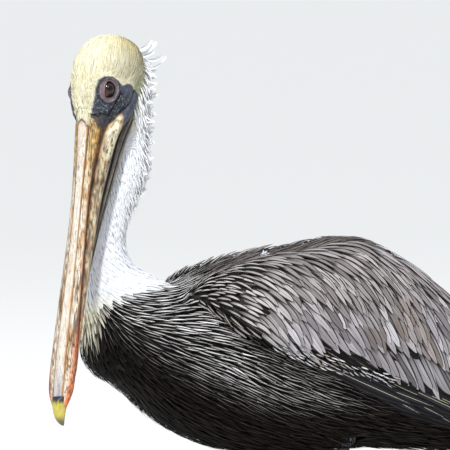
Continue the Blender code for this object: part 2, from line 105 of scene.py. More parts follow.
AIM = Vector((-0.0232, -0.1104, 0.310))  # the point in the middle of the view


def view_from(azimuth, elevation):
    """The direction from the bird to a viewer. Azimuth 0 is in front of it and 90 is on its left."""
    a, e = math.radians(azimuth), math.radians(elevation)
    return Vector((math.sin(a) * math.cos(e), -math.cos(a) * math.cos(e), math.sin(e)))


# A broad sun stands in for the studio's ceiling lights. The other lamps are square softboxes, and
# size is their side in metres, or for the sun the width of its disc in radians.
LIT_POINT = Vector((0, -0.10, 0.28))
for name, kind, size, azimuth, elevation, distance, power in (
    ("ceiling", "SUN", 0.08, 65, 54, 3.8, 2.5),
    ("key", "AREA", 0.40, 30, 40, 2.4, 10.0),
    ("fill", "AREA", 0.6, 100, 42, 3.0, 10.0),
    ("back", "AREA", 1.0, 235, 50, 2.6, 14.0),
):
    lamp = bpy.data.lights.new(name, kind)
    if kind == "SUN":
        lamp.angle = size
    else:
        lamp.size = size
    lamp.energy = power
    holder = new_object(name, lamp)
    away = view_from(azimuth, elevation)
    holder.location = LIT_POINT + away * distance
    holder.rotation_euler = (-away).to_track_quat("-Z", "Y").to_euler()

CAMERA_AZIMUTH, CAMERA_ELEVATION, CAMERA_DISTANCE = 72, 4, 6.0
camera = new_object("camera", bpy.data.cameras.new("camera"))
bpy.context.scene.camera = camera
camera.data.sensor_width = 36
camera.data.lens = 480
camera.data.clip_end = 200
toward = view_from(CAMERA_AZIMUTH, CAMERA_ELEVATION)
camera.location = AIM + toward * CAMERA_DISTANCE
camera.rotation_euler = (-toward).to_track_quat("-Z", "Y").to_euler()


# ---- the skin ------------------------------------------------------------------------------------
# Under its plumage the bird is one soft skin from the crown to the thighs and out along the wings.
# Here it is one mesh round all the solids of flesh, smoothed, and drawn in by the depth of the coat.

FLESH = ["head", "neck_upper", "neck_lower", "trunk"]
FLESH += [part + side for part in ("thigh", "wing", "flight") for side in ("_left", "_right")]
SKIN_VOXEL = 0.0034
COAT_DEPTH = {"head": 0.0026, "neck_upper": 0.0024, "neck_lower": 0.0028, "trunk": 0.0038,
              "thigh": 0.0022, "wing": 0.0046, "flight": 0.0042}  # fmt: skip
WING_GROOVE = 0.0032  # how deep the body's skin sinks beside the edge of the folded wing

# The head is bowed and turned: its own frame has its left along x, its back along y, its crown
# along z, and starts where the ridge of the bill leaves the forehead.
BILL_ROOT = Vector((0.0300, -0.2757, 0.4234))
head_frame = Matrix.Translation(BILL_ROOT)
for degrees, axis in ((30.6, "Z"), (75.4, "X"), (6.4, "Z")):
    head_frame = head_frame @ Matrix.Rotation(math.radians(degrees), 4, axis)
to_head = head_frame.inverted()


def moved(points, matrix):
    """Rows of points through a 4 x 4 matrix."""
    m = np.array(matrix)
    return points @ m[:3, :3].T + m[:3, 3]


def pick(*objs):
    """Selects these objects only. The first becomes the active one."""
    bpy.ops.object.select_all(action="DESELECT")
    for obj in objs:
        obj.select_set(True)
    bpy.context.view_layer.objects.active = objs[0]


def copy_of(name, nodes):
    """A new object with the solids of CAD nodes, their loose triangles merged."""
    mesh = bmesh.new()
    for node in nodes:
        mesh.from_mesh(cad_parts[node].data)
    bmesh.ops.remove_doubles(mesh, verts=mesh.verts, dist=1e-6)
    data = bpy.data.meshes.new(name)
    mesh.to_mesh(data)
    mesh.free()
    data.materials.clear()
    return new_object(name, data)


def remeshed(obj, voxel, smoothing):
    """Turns obj into one closed skin of even small faces, and smooths it."""
    pick(obj)
    step = obj.modifiers.new("One skin", "REMESH")
    step.mode = "VOXEL"
    step.voxel_size = voxel
    soft = obj.modifiers.new("Soften", "SMOOTH")
    soft.factor = 0.5
    soft.iterations = smoothing
    for step in list(obj.modifiers):
        bpy.ops.object.modifier_apply(modifier=step.name)
    return obj


def points_of(obj):
    """An object's points as rows."""
    co = np.empty(len(obj.data.vertices) * 3, np.float32)
    obj.data.vertices.foreach_get("co", co)
    return co.reshape(-1, 3).astype(float)


def normals_of(obj):
    """The normals at an object's points, as rows."""
    normal = np.empty(len(obj.data.vertices) * 3, np.float32)
    obj.data.vertex_normals.foreach_get("vector", normal)
    return normal.reshape(-1, 3).astype(float)


def set_points(obj, co):
    """Moves an object's points to these places."""
    obj.data.vertices.foreach_set("co", co.astype(np.float32).ravel())
    obj.data.update()


def evened(obj, values, times, keep=None):
    """Values at an object's points, each averaged with its neighbours a number of times."""
    ends = np.empty(len(obj.data.edges) * 2, np.int32)
    obj.data.edges.foreach_get("vertices", ends)
    a, b = ends.reshape(-1, 2).T
    values = np.array(values, float)
    count = np.bincount(np.r_[a, b], minlength=len(values)).astype(float)
    for _ in range(times):
        total = np.zeros_like(values)
        np.add.at(total, a, values[b])
        np.add.at(total, b, values[a])
        mean = (total.T / np.maximum(count, 1)).T
        values = mean if keep is None else np.where(keep, values, mean)
    return values


def unit(v):
    """Rows of vectors made one long."""
    return v / np.maximum(np.linalg.norm(v, axis=-1, keepdims=True), 1e-12)


def smooth_step(x, low, high):
    """0 up to low, 1 from high on, and a soft rise between them."""
    t = np.clip((np.asarray(x, float) - low) / (high - low), 0, 1)
    return t * t * (3 - 2 * t)


def tree_of(obj):
    """A tree that finds the nearest point of an object's surface, and where rays hit it."""
    faces = [tuple(p.vertices) for p in obj.data.polygons]
    return BVHTree.FromPolygons([v.co for v in obj.data.vertices], faces)


solids, owners = [], []
for node in FLESH:
    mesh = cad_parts[node].data
    mesh.calc_loop_triangles()
    start = sum(len(s[0]) for s in solids)
    corners = [v.co.copy() for v in mesh.vertices]
    faces = [[i + start for i in t.vertices] for t in mesh.loop_triangles]
    solids.append((corners, faces))
    owners += [node.split("_")[0] if node not in COAT_DEPTH else node] * len(faces)
outer = BVHTree.FromPolygons([c for s in solids for c in s[0]], [f for s in solids for f in s[1]])
owners = np.array(owners)


def region_of(points):
    """The name of the solid of flesh that lies nearest to each point."""
    return owners[[outer.find_nearest(p)[2] for p in points.tolist()]]


skin = remeshed(copy_of("skin", FLESH), SKIN_VOXEL, smoothing=10)

# That can leave small closed shells inside. Only the largest shell is kept.
mesh = bmesh.new()
mesh.from_mesh(skin.data)
islands = []
unseen = set(mesh.verts)
while unseen:
    island, edge = set(), [unseen.pop()]
    while edge:
        vert = edge.pop()
        island.add(vert)
        near = [e.other_vert(vert) for e in vert.link_edges]
        edge += [v for v in near if v in unseen]
        unseen.difference_update(near)
    islands.append(island)
islands.sort(key=len)
bmesh.ops.delete(mesh, geom=[v for island in islands[:-1] for v in island], context="VERTS")
mesh.to_mesh(skin.data)
mesh.free()

# The bare face: lore, ring and gape, seen from the side, as (back, up) in the head's frame.
BARE = ((-0.012, 0.001), (-0.002, -0.0015), (0.008, -0.0012), (0.018, -0.0002), (0.0275, 0.0012),
        (0.036, 0.0008), (0.0405, -0.0035), (0.0415, -0.0115), (0.0385, -0.0185), (0.0350, -0.0240),
        (0.0385, -0.0300), (0.0390, -0.0370), (0.0350, -0.0470), (0.0290, -0.0590), (0.0100, -0.0605),
        (-0.012, -0.0590))  # fmt: skip
EYE = np.array((0.0190, 0.0285, -0.0112))  # the left eyeball's centre in the head's frame
EYE_RADIUS = 0.0085
OPENING = (0.0282, -0.0104, 0.0078, 0.0064)  # between the lids: middle back and up, half sizes
RING = (0.0279, -0.0106, 0.0133, 0.0102)  # the bare ring's outer edge
SLIT = ((-0.0150, -0.0115), (0.0010, -0.0160), (0.0140, -0.0190), (0.0265, -0.0238))  # the gape


def line_at(back, line):
    """How high a line of (back, up) points runs at each back."""
    return np.interp(back, [p[0] for p in line], [p[1] for p in line])


def edge_distance(back, up, outline, closed=True):
    """How far each (back, up) lies from a polygon or line. Inside a polygon it is negative."""
    p = np.stack([back, up], -1)
    line = np.array(outline)
    ends = np.roll(line, -1, axis=0) if closed else line[1:]
    best = np.full(len(p), 1e9)
    inside = np.zeros(len(p), bool)
    for a, b in zip(line, ends):
        share = np.clip(((p - a) @ (b - a)) / ((b - a) @ (b - a)), 0, 1)
        best = np.minimum(best, np.linalg.norm(p - a - share[:, None] * (b - a), axis=1))
        crosses = (a[1] > p[:, 1]) != (b[1] > p[:, 1])
        with np.errstate(divide="ignore", invalid="ignore"):
            at = (b[0] - a[0]) * (p[:, 1] - a[1]) / (b[1] - a[1]) + a[0]
        inside ^= crosses & (p[:, 0] < at)
    return np.where(inside & closed, -best, best)


def face_edge(local):
    """How far points in the head's frame lie outside the bare face. Inside it is negative."""
    side = edge_distance(local[:, 1], local[:, 2], BARE)
    return np.maximum(side, 0.0105 - np.abs(local[:, 0]) - 0.5 * np.maximum(-0.03 - local[:, 2], 0))


def ring_share(local, ring):
    """0 in the middle of an oval round the eye, 1 on it."""
    return np.hypot((local[:, 1] - ring[0]) / ring[2], (local[:, 2] - ring[1]) / ring[3])


co = points_of(skin)
region = region_of(co)
local = moved(co, to_head)
depth = np.array([COAT_DEPTH[name] for name in region])
depth = np.where((region == "head") & (face_edge(local) < 0), 0.0002, depth)
wing_nodes = [part + side for part in ("wing", "flight") for side in ("_left", "_right")]
wings = copy_of("wings", wing_nodes)
wing_tree = tree_of(wings)
bpy.data.objects.remove(wings)
beside = np.array([wing_tree.find_nearest(p)[3] for p in co.tolist()])
groove = WING_GROOVE * np.exp(-((beside / 0.007) ** 2)) * ~np.isin(region, ("wing", "flight"))
depth += groove * smooth_step(-co[:, 2], -0.272, -0.258) * smooth_step(-co[:, 1], -0.10, -0.02)
depth = evened(skin, depth, 3)
co -= normals_of(skin) * depth[:, None]
set_points(skin, co)

# Smoothing has drawn it in further where the body is sharply rounded, so it is let out again there.
co = points_of(skin)
short = []
for p in co.tolist():
    hit, normal, _, gap = outer.find_nearest(p)
    short.append(gap if (Vector(p) - hit).dot(normal) < 0 else 0.0)
short = np.clip(np.array(short) - depth - 0.0003, 0, 0.012)
co += normals_of(skin) * evened(skin, short, 5)[:, None]
set_points(skin, co)

# The head's skin gets faces a third as wide, so that it can hold lids, folds and crumples.
bpy.ops.object.mode_set(mode="OBJECT")
centres = np.array([p.center for p in skin.data.polygons])
local = moved(centres, to_head)
fine = (local[:, 1] > -0.02) & (local[:, 1] < 0.05) & (local[:, 2] > -0.07) & (local[:, 2] < 0.014)
fine &= np.abs(local[:, 0]) < 0.05
skin.data.vertices.foreach_set("select", np.zeros(len(skin.data.vertices), bool))
skin.data.edges.foreach_set("select", np.zeros(len(skin.data.edges), bool))
skin.data.polygons.foreach_set("select", fine)
pick(skin)
bpy.context.tool_settings.mesh_select_mode = (False, False, True)
bpy.ops.object.mode_set(mode="EDIT")
bpy.ops.mesh.subdivide(number_cuts=2)
bpy.ops.object.mode_set(mode="OBJECT")

co = points_of(skin)
local = moved(co, to_head)
far = (np.abs(local[:, 0]) > 0.05) | (local[:, 1] > 0.05) | (local[:, 2] < -0.07) | (local[:, 2] > 0.02)
far |= local[:, 1] < -0.03
co = evened(skin, co, 6, keep=far[:, None])
set_points(skin, co)


def crumple(points, size, seed):
    """Soft lumps about size across, from -1 to 1."""
    at = points / size + seed
    return np.array([noise.noise(p) for p in at.tolist()])


local = moved(co, to_head)
edge = face_edge(local)
bare = smooth_step(-edge, -0.0010, 0.0010)
bare *= smooth_step(np.abs(local[:, 0]), 0.004, 0.008)
slit = edge_distance(local[:, 1], local[:, 2], SLIT, closed=False)
side = smooth_step(np.abs(local[:, 0]), 0.008, 0.014)
below = local[:, 2] < line_at(local[:, 1], SLIT)
relief = -0.0026 * np.exp(-((slit / 0.0010) ** 2)) * side
relief += 0.0008 * np.exp(-(((slit - 0.0032) / 0.0020) ** 2)) * side
lobe = edge_distance(local[:, 1], local[:, 2], ((0.032, -0.031), (0.020, -0.037), (-0.010, -0.050)), False)
relief += 0.0016 * np.exp(-((lobe / 0.0050) ** 2)) * side
for shift in (0.0095, 0.0150):
    fold = np.abs(lobe - shift) / 0.0009
    relief -= 0.0013 * np.exp(-(fold**2)) * side * below
relief += crumple(local, 0.0032, 3.0) * 0.00055 * bare
relief += crumple(local, 0.0016, 9.0) * 0.00035 * bare
ring = ring_share(local, RING)
co += normals_of(skin) * (relief * bare)[:, None]
local = moved(co, to_head)
sink = 0.0045 * smooth_step(-ring, -0.98, -0.70) * (np.abs(local[:, 0]) > 0.008) * (region_of(co) == "head")
local[:, 0] -= np.sign(local[:, 0]) * sink
co = moved(local, head_frame)
set_points(skin, co)


def lids(side, bed):
    """The bare ring round one eye: two lids that hug the ball, a fold round them, and a soft rim."""
    around, across = 80, 20
    ball = EYE * (side, 1, 1)
    rows = []
    for k in range(around):
        a = 2 * math.pi * k / around
        aim = np.array((math.cos(a), math.sin(a)))
        inner = np.array(OPENING[:2]) + aim * OPENING[2:]
        rim = np.array(RING[:2]) + aim * np.array(RING[2:]) * 1.12
        start = head_frame @ Vector((side * 0.06, *rim))
        hit = bed.ray_cast(start, head_frame.to_3x3() @ Vector((-side, 0, 0)))[0]
        outside = abs((to_head @ hit).x) if hit else 0.024
        off = np.hypot(*(inner - ball[1:]))
        edge = abs(ball[0]) + math.sqrt(max(EYE_RADIUS**2 - off**2, 0))
        row = [(side * (edge - 0.0008), *inner)]
        for i in range(across):
            s = i / (across - 1)
            back, up = inner + (rim - inner) * s
            off = math.hypot(back - ball[1], up - ball[2])
            on_ball = abs(ball[0]) + math.sqrt(max(EYE_RADIUS**2 - off**2, 0))
            out = edge + 0.0003 + (outside - edge) * (s * s * (3 - 2 * s))
            out += 0.0009 * math.exp(-(((s - 0.12) / 0.09) ** 2))
            out -= 0.0005 * math.exp(-(((s - 0.34) / 0.06) ** 2))
            out += 0.0006 * math.exp(-(((s - 0.55) / 0.16) ** 2)) * (1 + 0.4 * math.sin(5 * a))
            out += 0.00025 * noise.noise((back * 500, up * 500, 4.0)) * min(1.0, 4 * s)
            out -= 0.0011 * max(0.0, (s - 0.85) / 0.15) ** 2
            if off < EYE_RADIUS:
                out = max(out, on_ball + 0.00025)
            row.append((side * out, back, up))
        rows.append(row)
    mesh = bmesh.new()
    loops = [[mesh.verts.new(head_frame @ Vector(p)) for p in row] for row in rows]
    for a, b in zip(loops, loops[1:] + loops[:1]):
        for i in range(across):
            mesh.faces.new((a[i], a[i + 1], b[i + 1], b[i]))
    bmesh.ops.recalc_face_normals(mesh, faces=mesh.faces)
    data = bpy.data.meshes.new("lids")
    mesh.to_mesh(data)
    mesh.free()
    outwards = head_frame.to_3x3() @ Vector((side, 0, 0))
    if sum((p.normal for p in data.polygons), Vector()).dot(outwards) < 0:
        data.flip_normals()
    return new_object("lids", data)


bed = tree_of(skin)
pick(skin, lids(1, bed), lids(-1, bed))
bpy.ops.object.join()
skin.data.shade_smooth()

# The markings, which skin and feathers share. The belly is nearly black; breast and flanks carry a
# silver streak on each feather; the neck is white, the head cream, and the wings silver grey.

BELLY = ((-0.255, 0.163), (-0.190, 0.113), (-0.140, 0.091), (-0.090, 0.0815), (-0.040, 0.079),
         (0.010, 0.085), (0.110, 0.092), (0.160, 0.078), (0.210, 0.066))  # fmt: skip


def mix(a, b, share):
    """Colours a and b, mixed point by point. Each is a hex code or rows of colours."""
    a, b = (np.array(linear(c)) if isinstance(c, str) else c for c in (a, b))
    share = np.asarray(share, float)[:, None]
    return a * (1 - share) + b * share


def painted(base, layers):
    """Colours with layers over them in turn: each is a colour and how much it covers each point."""
    for colour, share in layers:
        base = mix(base, colour, share)
    return base


# The foot of the folded wing, as (back, up): the breast's streaks fade out in its shade.
WING_FOOT = ((-0.175, 0.250), (-0.160, 0.238), (-0.146, 0.216), (-0.130, 0.199), (-0.084, 0.179),
             (0.006, 0.150), (0.099, 0.118))  # fmt: skip


def white_share(p):
    """1 on the white neck and 0 on the streaked breast and back."""
    ragged = crumple(p, 0.007, 5.0) * 0.004
    line = np.minimum(p[:, 2] - 0.16 * p[:, 1] - 0.287, (-0.183 - p[:, 1]) * 0.8)
    return smooth_step(line + ragged, -0.003, 0.003)


def markings(p, region, seed):
    """For points on the bird: the colour of a feather's vane with how far it has a margin, and the
    colour of the streak along it with how wide that is."""
    rng = np.random.default_rng(seed)
    local = moved(p, to_head)
    luck, more = rng.random(len(p)), rng.random(len(p))

    # Trunk: darker below the belly's line, in the wing's shade and along the spine.
    high = p[:, 2] - line_at(p[:, 1], BELLY)
    silver = smooth_step(high, 0.040, 0.095)
    below = line_at(p[:, 1], WING_FOOT) - p[:, 2]
    shaded = smooth_step(-below, -0.022, -0.006) * smooth_step(p[:, 1], -0.175, -0.150)
    spine = smooth_step(p[:, 1], -0.175, -0.115) * smooth_step(p[:, 2], 0.240, 0.262)
    silver = silver * (1 - 0.60 * shaded) * (1 - spine)
    vane = mix("080605", "120E0C", luck)
    streak = mix("1C1612", "5A4D43", more**2)
    streak = mix(streak, mix("B5B1AF", "F6F5F4", more), silver * (0.45 + 0.55 * luck))
    streak = mix(streak, mix("4E4743", "A09894", more), spine)
    wide = 0.14 + 0.17 * silver * (0.60 + 0.8 * luck) + 0.22 * spine
    margin = np.zeros(len(p))

    # The ivory patch in front, below the neck.
    patch = smooth_step(-p[:, 1], 0.2565, 0.2620) * smooth_step(p[:, 2], 0.192, 0.222)
    patch = patch * (luck < 0.25 + 0.75 * smooth_step(p[:, 2], 0.195, 0.215))
    vane = mix(vane, mix("EEE6C4", "FBF6E0", more), patch)
    streak = mix(streak, "FFFDEE", patch)

    # The white neck, warmer at its foot.
    white = np.maximum(white_share(p), np.isin(region, ("neck_upper", "neck_lower")) * 1.0)
    white = np.where(np.isin(region, ("wing", "flight", "thigh")), 0.0, white)
    low = smooth_step(-p[:, 2], -0.262, -0.235) * smooth_step(-p[:, 1], 0.235, 0.262)
    vane = mix(vane, mix(mix("DCE1E8", "F0F2F6", luck), "EFECD6", low), white)
    streak = mix(streak, mix("F7F9FC", "FAF7DC", low), white)
    wide = np.where(white > 0.5, 0.55, wide)

    # The cream head, yellower on the crown and greenish at the throat.
    ragged = crumple(p, 0.004, 12.0)
    cream = smooth_step(local[:, 2] + 0.003 * ragged, -0.068, -0.058) * smooth_step(p[:, 2], 0.390, 0.425)
    cream = np.where(np.isin(region, ("head", "neck_upper")), cream, 0.0)
    crown = smooth_step(local[:, 1] + 0.006 * ragged, 0.052, 0.078) * smooth_step(-local[:, 2], 0.0, 0.03)
    shade = mix(mix("BDB387", "F5F0D4", luck), mix("A8944C", "E8DB9A", luck), crown)
    shade = mix(shade, "A08A42", (more > 0.86) * 0.8)
    shade = mix(shade, "7E4E1C", (more > 0.987) * 0.9)
    vane = mix(vane, shade, cream)
    streak = mix(streak, mix(mix("EFE8C0", "FFFEF2", more), "F3EBC0", 0.6 * crown), cream)
    wide = np.where(cream > 0.5, 0.30 + 0.25 * luck, wide)
    throat = smooth_step(-face_edge(local), -0.016, -0.003) * smooth_step(-local[:, 2], 0.030, 0.048)
    throat = throat * np.isin(region, ("head", "neck_upper")) * smooth_step(p[:, 2], 0.395, 0.440)
    vane = mix(vane, "C2C79A", throat * 0.8)
    streak = mix(streak, "EDEFD2", throat * 0.8)

    # Wings: small dark coverts, then silver ones with a margin, browner where they are stained.
    wing = np.isin(region, ("wing", "flight"))
    grown = smooth_step(p[:, 1], -0.150, -0.085) * (region == "wing")
    grown = np.maximum(grown, smooth_step(p[:, 1], 0.10, 0.15) * wing)
    upper = smooth_step(p[:, 2], 0.235, 0.268)
    stain = smooth_step(crumple(p, 0.030, 2.0) + 0.5 * crumple(p, 0.011, 7.0), -0.05, 0.5)
    stain = np.maximum(stain * smooth_step(p[:, 1], -0.08, 0.04), 0.55 * upper)
    edge = mix(mix("413D3E", "635E60", luck), "3E342C", 0.7 * stain)
    edge = mix(edge, "1C1714", 0.75 * upper)
    shine = mix(mix("6C686A", "C6C1C6", more), "85776A", 0.6 * stain)
    point = smooth_step(p[:, 1], 0.185, 0.235)
    edge, shine = mix(edge, "171516", point), mix(shine, "39373A", point)
    vane = np.where(wing[:, None], mix("0E0B0A", edge, grown), vane)
    streak = np.where(wing[:, None], mix(mix("A9A29C", "CFC9C4", more), shine, grown), streak)
    wide = np.where(wing, 0.36 + (0.38 - 0.10 * upper) * grown, wide)
    margin = np.where(wing, grown * (0.70 + 0.30 * more) * (1 - point), margin)
    return np.c_[vane, margin], np.c_[streak, wide]


def set_colours(data, **colours):
    """Colour layers of a mesh, with a row of four numbers for each point."""
    for name, rows in colours.items():
        layer = data.attributes.new(name, "FLOAT_COLOR", "POINT")
        layer.data.foreach_set("color", rows.astype(np.float32).ravel())


co = points_of(skin)
region = region_of(co)
local = moved(co, to_head)
vane, streak = markings(co, region, 1)
pale_down = np.maximum(white_share(co), np.isin(region, ("head", "neck_upper", "neck_lower"))) * 0.5
colour = mix(vane[:, :3], streak[:, :3], pale_down * ~np.isin(region, ("wing", "flight", "thigh")))
# Under the wings the skin is darkened nearly to black: painted shade that shows in the gaps between the
# wing's feathers.
colour = mix(colour, "14110F", np.isin(region, ("wing", "flight")) * 0.75)
bare = smooth_step(-face_edge(local), -0.0006, 0.0008) * np.isin(region, ("head", "neck_upper"))
bare *= smooth_step(np.abs(local[:, 0]), 0.004, 0.007)
slit = edge_distance(local[:, 1], local[:, 2], SLIT, closed=False)
crust_and_glints = crumple(local, 0.0016, 1.0)
lobe_side = smooth_step(local[:, 1], 0.018, 0.030) * smooth_step(-local[:, 2], 0.016, 0.024)
ring = ring_share(local, RING)
lid = ring_share(local, OPENING)
face = painted(mix("0C1019", "232A3A", 0.5 + 0.5 * crumple(local, 0.004, 8.0)), (
    # crumpled slate, with pale crusty specks behind the gape that are partly painted highlights, and brown at
    # the throat
    ("A9B1C0", smooth_step(crust_and_glints, 0.12, 0.46) * smooth_step(-local[:, 2], -0.02, 0.012) * 0.45),
    (mix("262A3A", "62667A", 0.5 + 0.5 * crumple(local, 0.0030, 17.0)), lobe_side * 0.6),
    ("6B6157", smooth_step(-local[:, 2], 0.036, 0.046) * 0.8),
    # a black edge round the ring, partly its own dark outline and partly painted shade in the seam round it;
    # the flushed ring, and the rims of the lids
    ("07080D", np.exp(-(((ring - 1.04) / 0.10) ** 2)) * 0.85),
    (mix("433845", "93828D", 0.5 + 0.5 * crumple(local, 0.0030, 6.0)), smooth_step(-ring, -1.0, -0.86)),
    ("7A6262", smooth_step(-lid, -1.42, -1.22) * smooth_step(lid, 1.02, 1.12) * 0.8),
    ("1A1214", smooth_step(-lid, -1.12, -1.03)),
    # painted shade in the slit of the gape and in the fold round the lids
    ("04060A", np.exp(-((slit / 0.0019) ** 2))),
    ("10131B", smooth_step(-np.abs(lid - 1.33), -0.05, 0.0) * 0.35),
))  # fmt: skip
colour = mix(colour, face, bare)
gloss = 0.62 - 0.26 * bare - 0.12 * bare * np.exp(-((slit / 0.0035) ** 2))
set_colours(skin.data, tint=np.c_[colour, gloss])

bpy.ops.object.mode_set(mode="EDIT")
bpy.ops.mesh.select_all(action="SELECT")
bpy.ops.uv.smart_project(angle_limit=math.radians(66), island_margin=0.002)
bpy.ops.object.mode_set(mode="OBJECT")
skin.data.uv_layers[0].name = "OFBake"

# Bird skin: thin, soft and finely pebbled, smoother over the bare face and wet along the gape.
leather, tree, shader = new_material("bare_bird_skin")
tint = add(tree, "ShaderNodeAttribute", attribute_name="tint")
spot = add(tree, "ShaderNodeTexCoord")
pebble = add(tree, "ShaderNodeTexVoronoi", {"Vector": spot.outputs["Object"]}, {"Scale": 900})
fine = add(tree, "ShaderNodeTexNoise", {"Vector": spot.outputs["Object"]}, {"Scale": 1500, "Detail": 3})
both = add(tree, "ShaderNodeMath", {0: pebble.outputs["Distance"], 1: fine.outputs["Fac"]}, operation="ADD")
bump = add(tree, "ShaderNodeBump", {"Height": both.outputs[0]}, {"Strength": 0.7, "Distance": 0.0006})
level = add(tree, "ShaderNodeMapRange", {0: fine.outputs["Fac"]}, {1: 0.3, 2: 0.7, 3: 0.72, 4: 1.25})
mottled = add(tree, "ShaderNodeVectorMath", {0: tint.outputs["Color"], "Scale": level.outputs[0]},
              operation="SCALE")  # fmt: skip
tree.links.new(mottled.outputs[0], shader.inputs["Base Color"])
tree.links.new(tint.outputs["Alpha"], shader.inputs["Roughness"])
tree.links.new(bump.outputs["Normal"], shader.inputs["Normal"])
skin.data.materials.append(leather)
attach(skin, "root")
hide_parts(*FLESH)


# ---- eyes ----------------------------------------------------------------------------------------
# Each eye is a ball sunk between its lids: a nearly black globe with a dark brown iris round a black
# pupil, a reddish corner towards the bill, and a wet front that bulges a little.

GAZE = Vector((0.92, -0.05, 0.37)).normalized()  # the left eye's, in the head's frame
IRIS, PUPIL = 0.0050, 0.0030

wet, tree, shader = new_material("wet_eye")
tint = add(tree, "ShaderNodeAttribute", attribute_name="tint")
tree.links.new(tint.outputs["Color"], shader.inputs["Base Color"])
shader.inputs["Roughness"].default_value = 0.12
shader.inputs["Specular IOR Level"].default_value = 0.25
shader.inputs["Coat Weight"].default_value = 0.6
shader.inputs["Coat Roughness"].default_value = 0.02

for name, side in (("eye_left", 1), ("eye_right", -1)):
    low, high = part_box(name)
    bpy.ops.object.select_all(action="DESELECT")
    bpy.ops.mesh.primitive_uv_sphere_add(segments=64, ring_count=48, radius=1, location=(0, 0, 0))
    ball = bpy.context.object
    ball.name = "eyeball_" + name.split("_")[1]
    aim = head_frame.to_3x3() @ Vector((side * GAZE.x, GAZE.y, GAZE.z))
    turn = Vector((0, 0, 1)).rotation_difference(aim).to_matrix()
    co = points_of(ball)
    from_axis = np.hypot(co[:, 0], co[:, 1]) * EYE_RADIUS
    ahead = co[:, 2] > 0
    swell = 0.0006 * smooth_step(-from_axis, -0.0062, -0.0035) * ahead
    fleck = np.array([noise.noise((math.atan2(p[1], p[0]) * 4, 0, 0)) for p in co.tolist()])
    shade = mix("241309", "4A2A18", 0.5 + 0.5 * fleck)
    shade = mix(shade, "2A1710", smooth_step(-np.abs(from_axis - 0.0036), -0.0009, -0.0002) * 0.5)
    shade = mix(shade, "120B09", smooth_step(from_axis, IRIS - 0.0006, IRIS + 0.0002))
    shade = mix(shade, "030303", smooth_step(-from_axis, -PUPIL - 0.0002, -PUPIL + 0.0002) * ahead)
    shade = np.where(ahead[:, None], shade, linear("120B09"))
    rows = co * ((EYE_RADIUS - 0.0001 + swell)[:, None])
    middle = (low + high) / 2
    co = rows @ np.array(turn).T + np.array(middle)
    corner = moved(co, to_head)
    red = smooth_step(-corner[:, 1], -0.0245, -0.0215) * smooth_step(corner[:, 2], -0.0100, -0.0075)
    shade = mix(shade, "7A2A18", red * 0.8)
    set_points(ball, co)
    ball.data.shade_smooth()
    set_colours(ball.data, tint=np.c_[shade, np.ones(len(shade))])
    ball.data.materials.append(wet)
    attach(ball, "root")
    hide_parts(name)


# ---- the bill ------------------------------------------------------------------------------------
# The upper bill is bone in a thin sheath of horn: a rounded ridge between two grooves, and a sloping
# side down to each cutting edge. It ends in a hooked nail. Under it lies the lower bill, whose two
# bars carry the pouch. The horn is ivory, speckled grey and brown, orange along its edges.

BILL_LENGTH = 0.306

# Sections along the bill in the head's frame: back, top, bottom and half width.
UPPER = (
    (0.012, 0.0010, -0.0225, 0.0190), (0.000, 0.0000, -0.0190, 0.0190), (-0.013, -0.0008, -0.0153, 0.0175),
    (-0.050, -0.0032, -0.0112, 0.0137), (-0.085, -0.0042, -0.0095, 0.0118),
    (-0.130, -0.0036, -0.0087, 0.0126), (-0.183, -0.0019, -0.0074, 0.0145),
    (-0.228, 0.0000, -0.0064, 0.0160), (-0.258, 0.0002, -0.0062, 0.0168),
    (-0.275, -0.0004, -0.0062, 0.0152), (-0.288, -0.0014, -0.0064, 0.0095),
)  # fmt: skip
LOWER = (
    (0.038, -0.044, -0.056, 0.0190), (0.030, -0.0385, -0.0585, 0.0268), (0.010, -0.0280, -0.0510, 0.0270),
    (-0.013, -0.0163, -0.0370, 0.0245), (-0.050, -0.0122, -0.0310, 0.0190),
    (-0.085, -0.0105, -0.0268, 0.0162), (-0.130, -0.0096, -0.0220, 0.0150),
    (-0.183, -0.0083, -0.0162, 0.0150), (-0.228, -0.0074, -0.0120, 0.0150),
    (-0.258, -0.0070, -0.0108, 0.0140), (-0.2835, -0.0072, -0.0094, 0.0070),
)  # fmt: skip
POUCH = (
    (0.030, -0.0560, -0.0670, 0.0120), (0.010, -0.0480, -0.0640, 0.0170),
    (-0.013, -0.0350, -0.0575, 0.0170), (-0.050, -0.0290, -0.0490, 0.0138),
    (-0.085, -0.0250, -0.0400, 0.0112), (-0.130, -0.0203, -0.0300, 0.0090),
    (-0.178, -0.0150, -0.0210, 0.0080), (-0.212, -0.0118, -0.0140, 0.0045),
)  # fmt: skip

# One side of the upper bill's outline from the ridge, as shares of its half width and its height.
RIDGE_SIDE = ((0.00, 1.00), (0.22, 0.97), (0.34, 0.86), (0.39, 0.72), (0.45, 0.76), (0.70, 0.62),
              (0.90, 0.38), (1.00, 0.14), (0.97, 0.02), (0.80, 0.00), (0.40, 0.00), (0.00, 0.00))  # fmt: skip


def smooth_rows(rows, steps):
    """Rows of numbers read smoothly: a Catmull-Rom curve through them."""
    table = np.array(rows, float)
    ends = np.vstack([2 * table[0] - table[1], table, 2 * table[-1] - table[-2]])
    out = []
    for i in range(len(table) - 1):
        a, b, c, d = ends[i : i + 4]
        for k in range(steps):
            t = k / steps
            square, cube = 2 * a - 5 * b + 4 * c - d, 3 * b - a - 3 * c + d
            out.append(0.5 * (2 * b + (c - a) * t + square * t**2 + cube * t**3))
    return np.array(out + [table[-1]])


def ridged():
    """The upper bill's outline, as shares of its half width and height, round from its ridge."""
    half = smooth_rows(RIDGE_SIDE, 4)
    return np.vstack([half, half[-2:0:-1] * (-1, 1)])


def oval(count):
    """A flattened round outline of so many points, as such shares."""
    a = np.linspace(0, 2 * math.pi, count, endpoint=False)
    s, c = np.sin(a), np.cos(a)
    return np.c_[np.sign(s) * np.abs(s) ** 0.87, (1 + np.sign(c) * np.abs(c) ** 0.87) / 2]


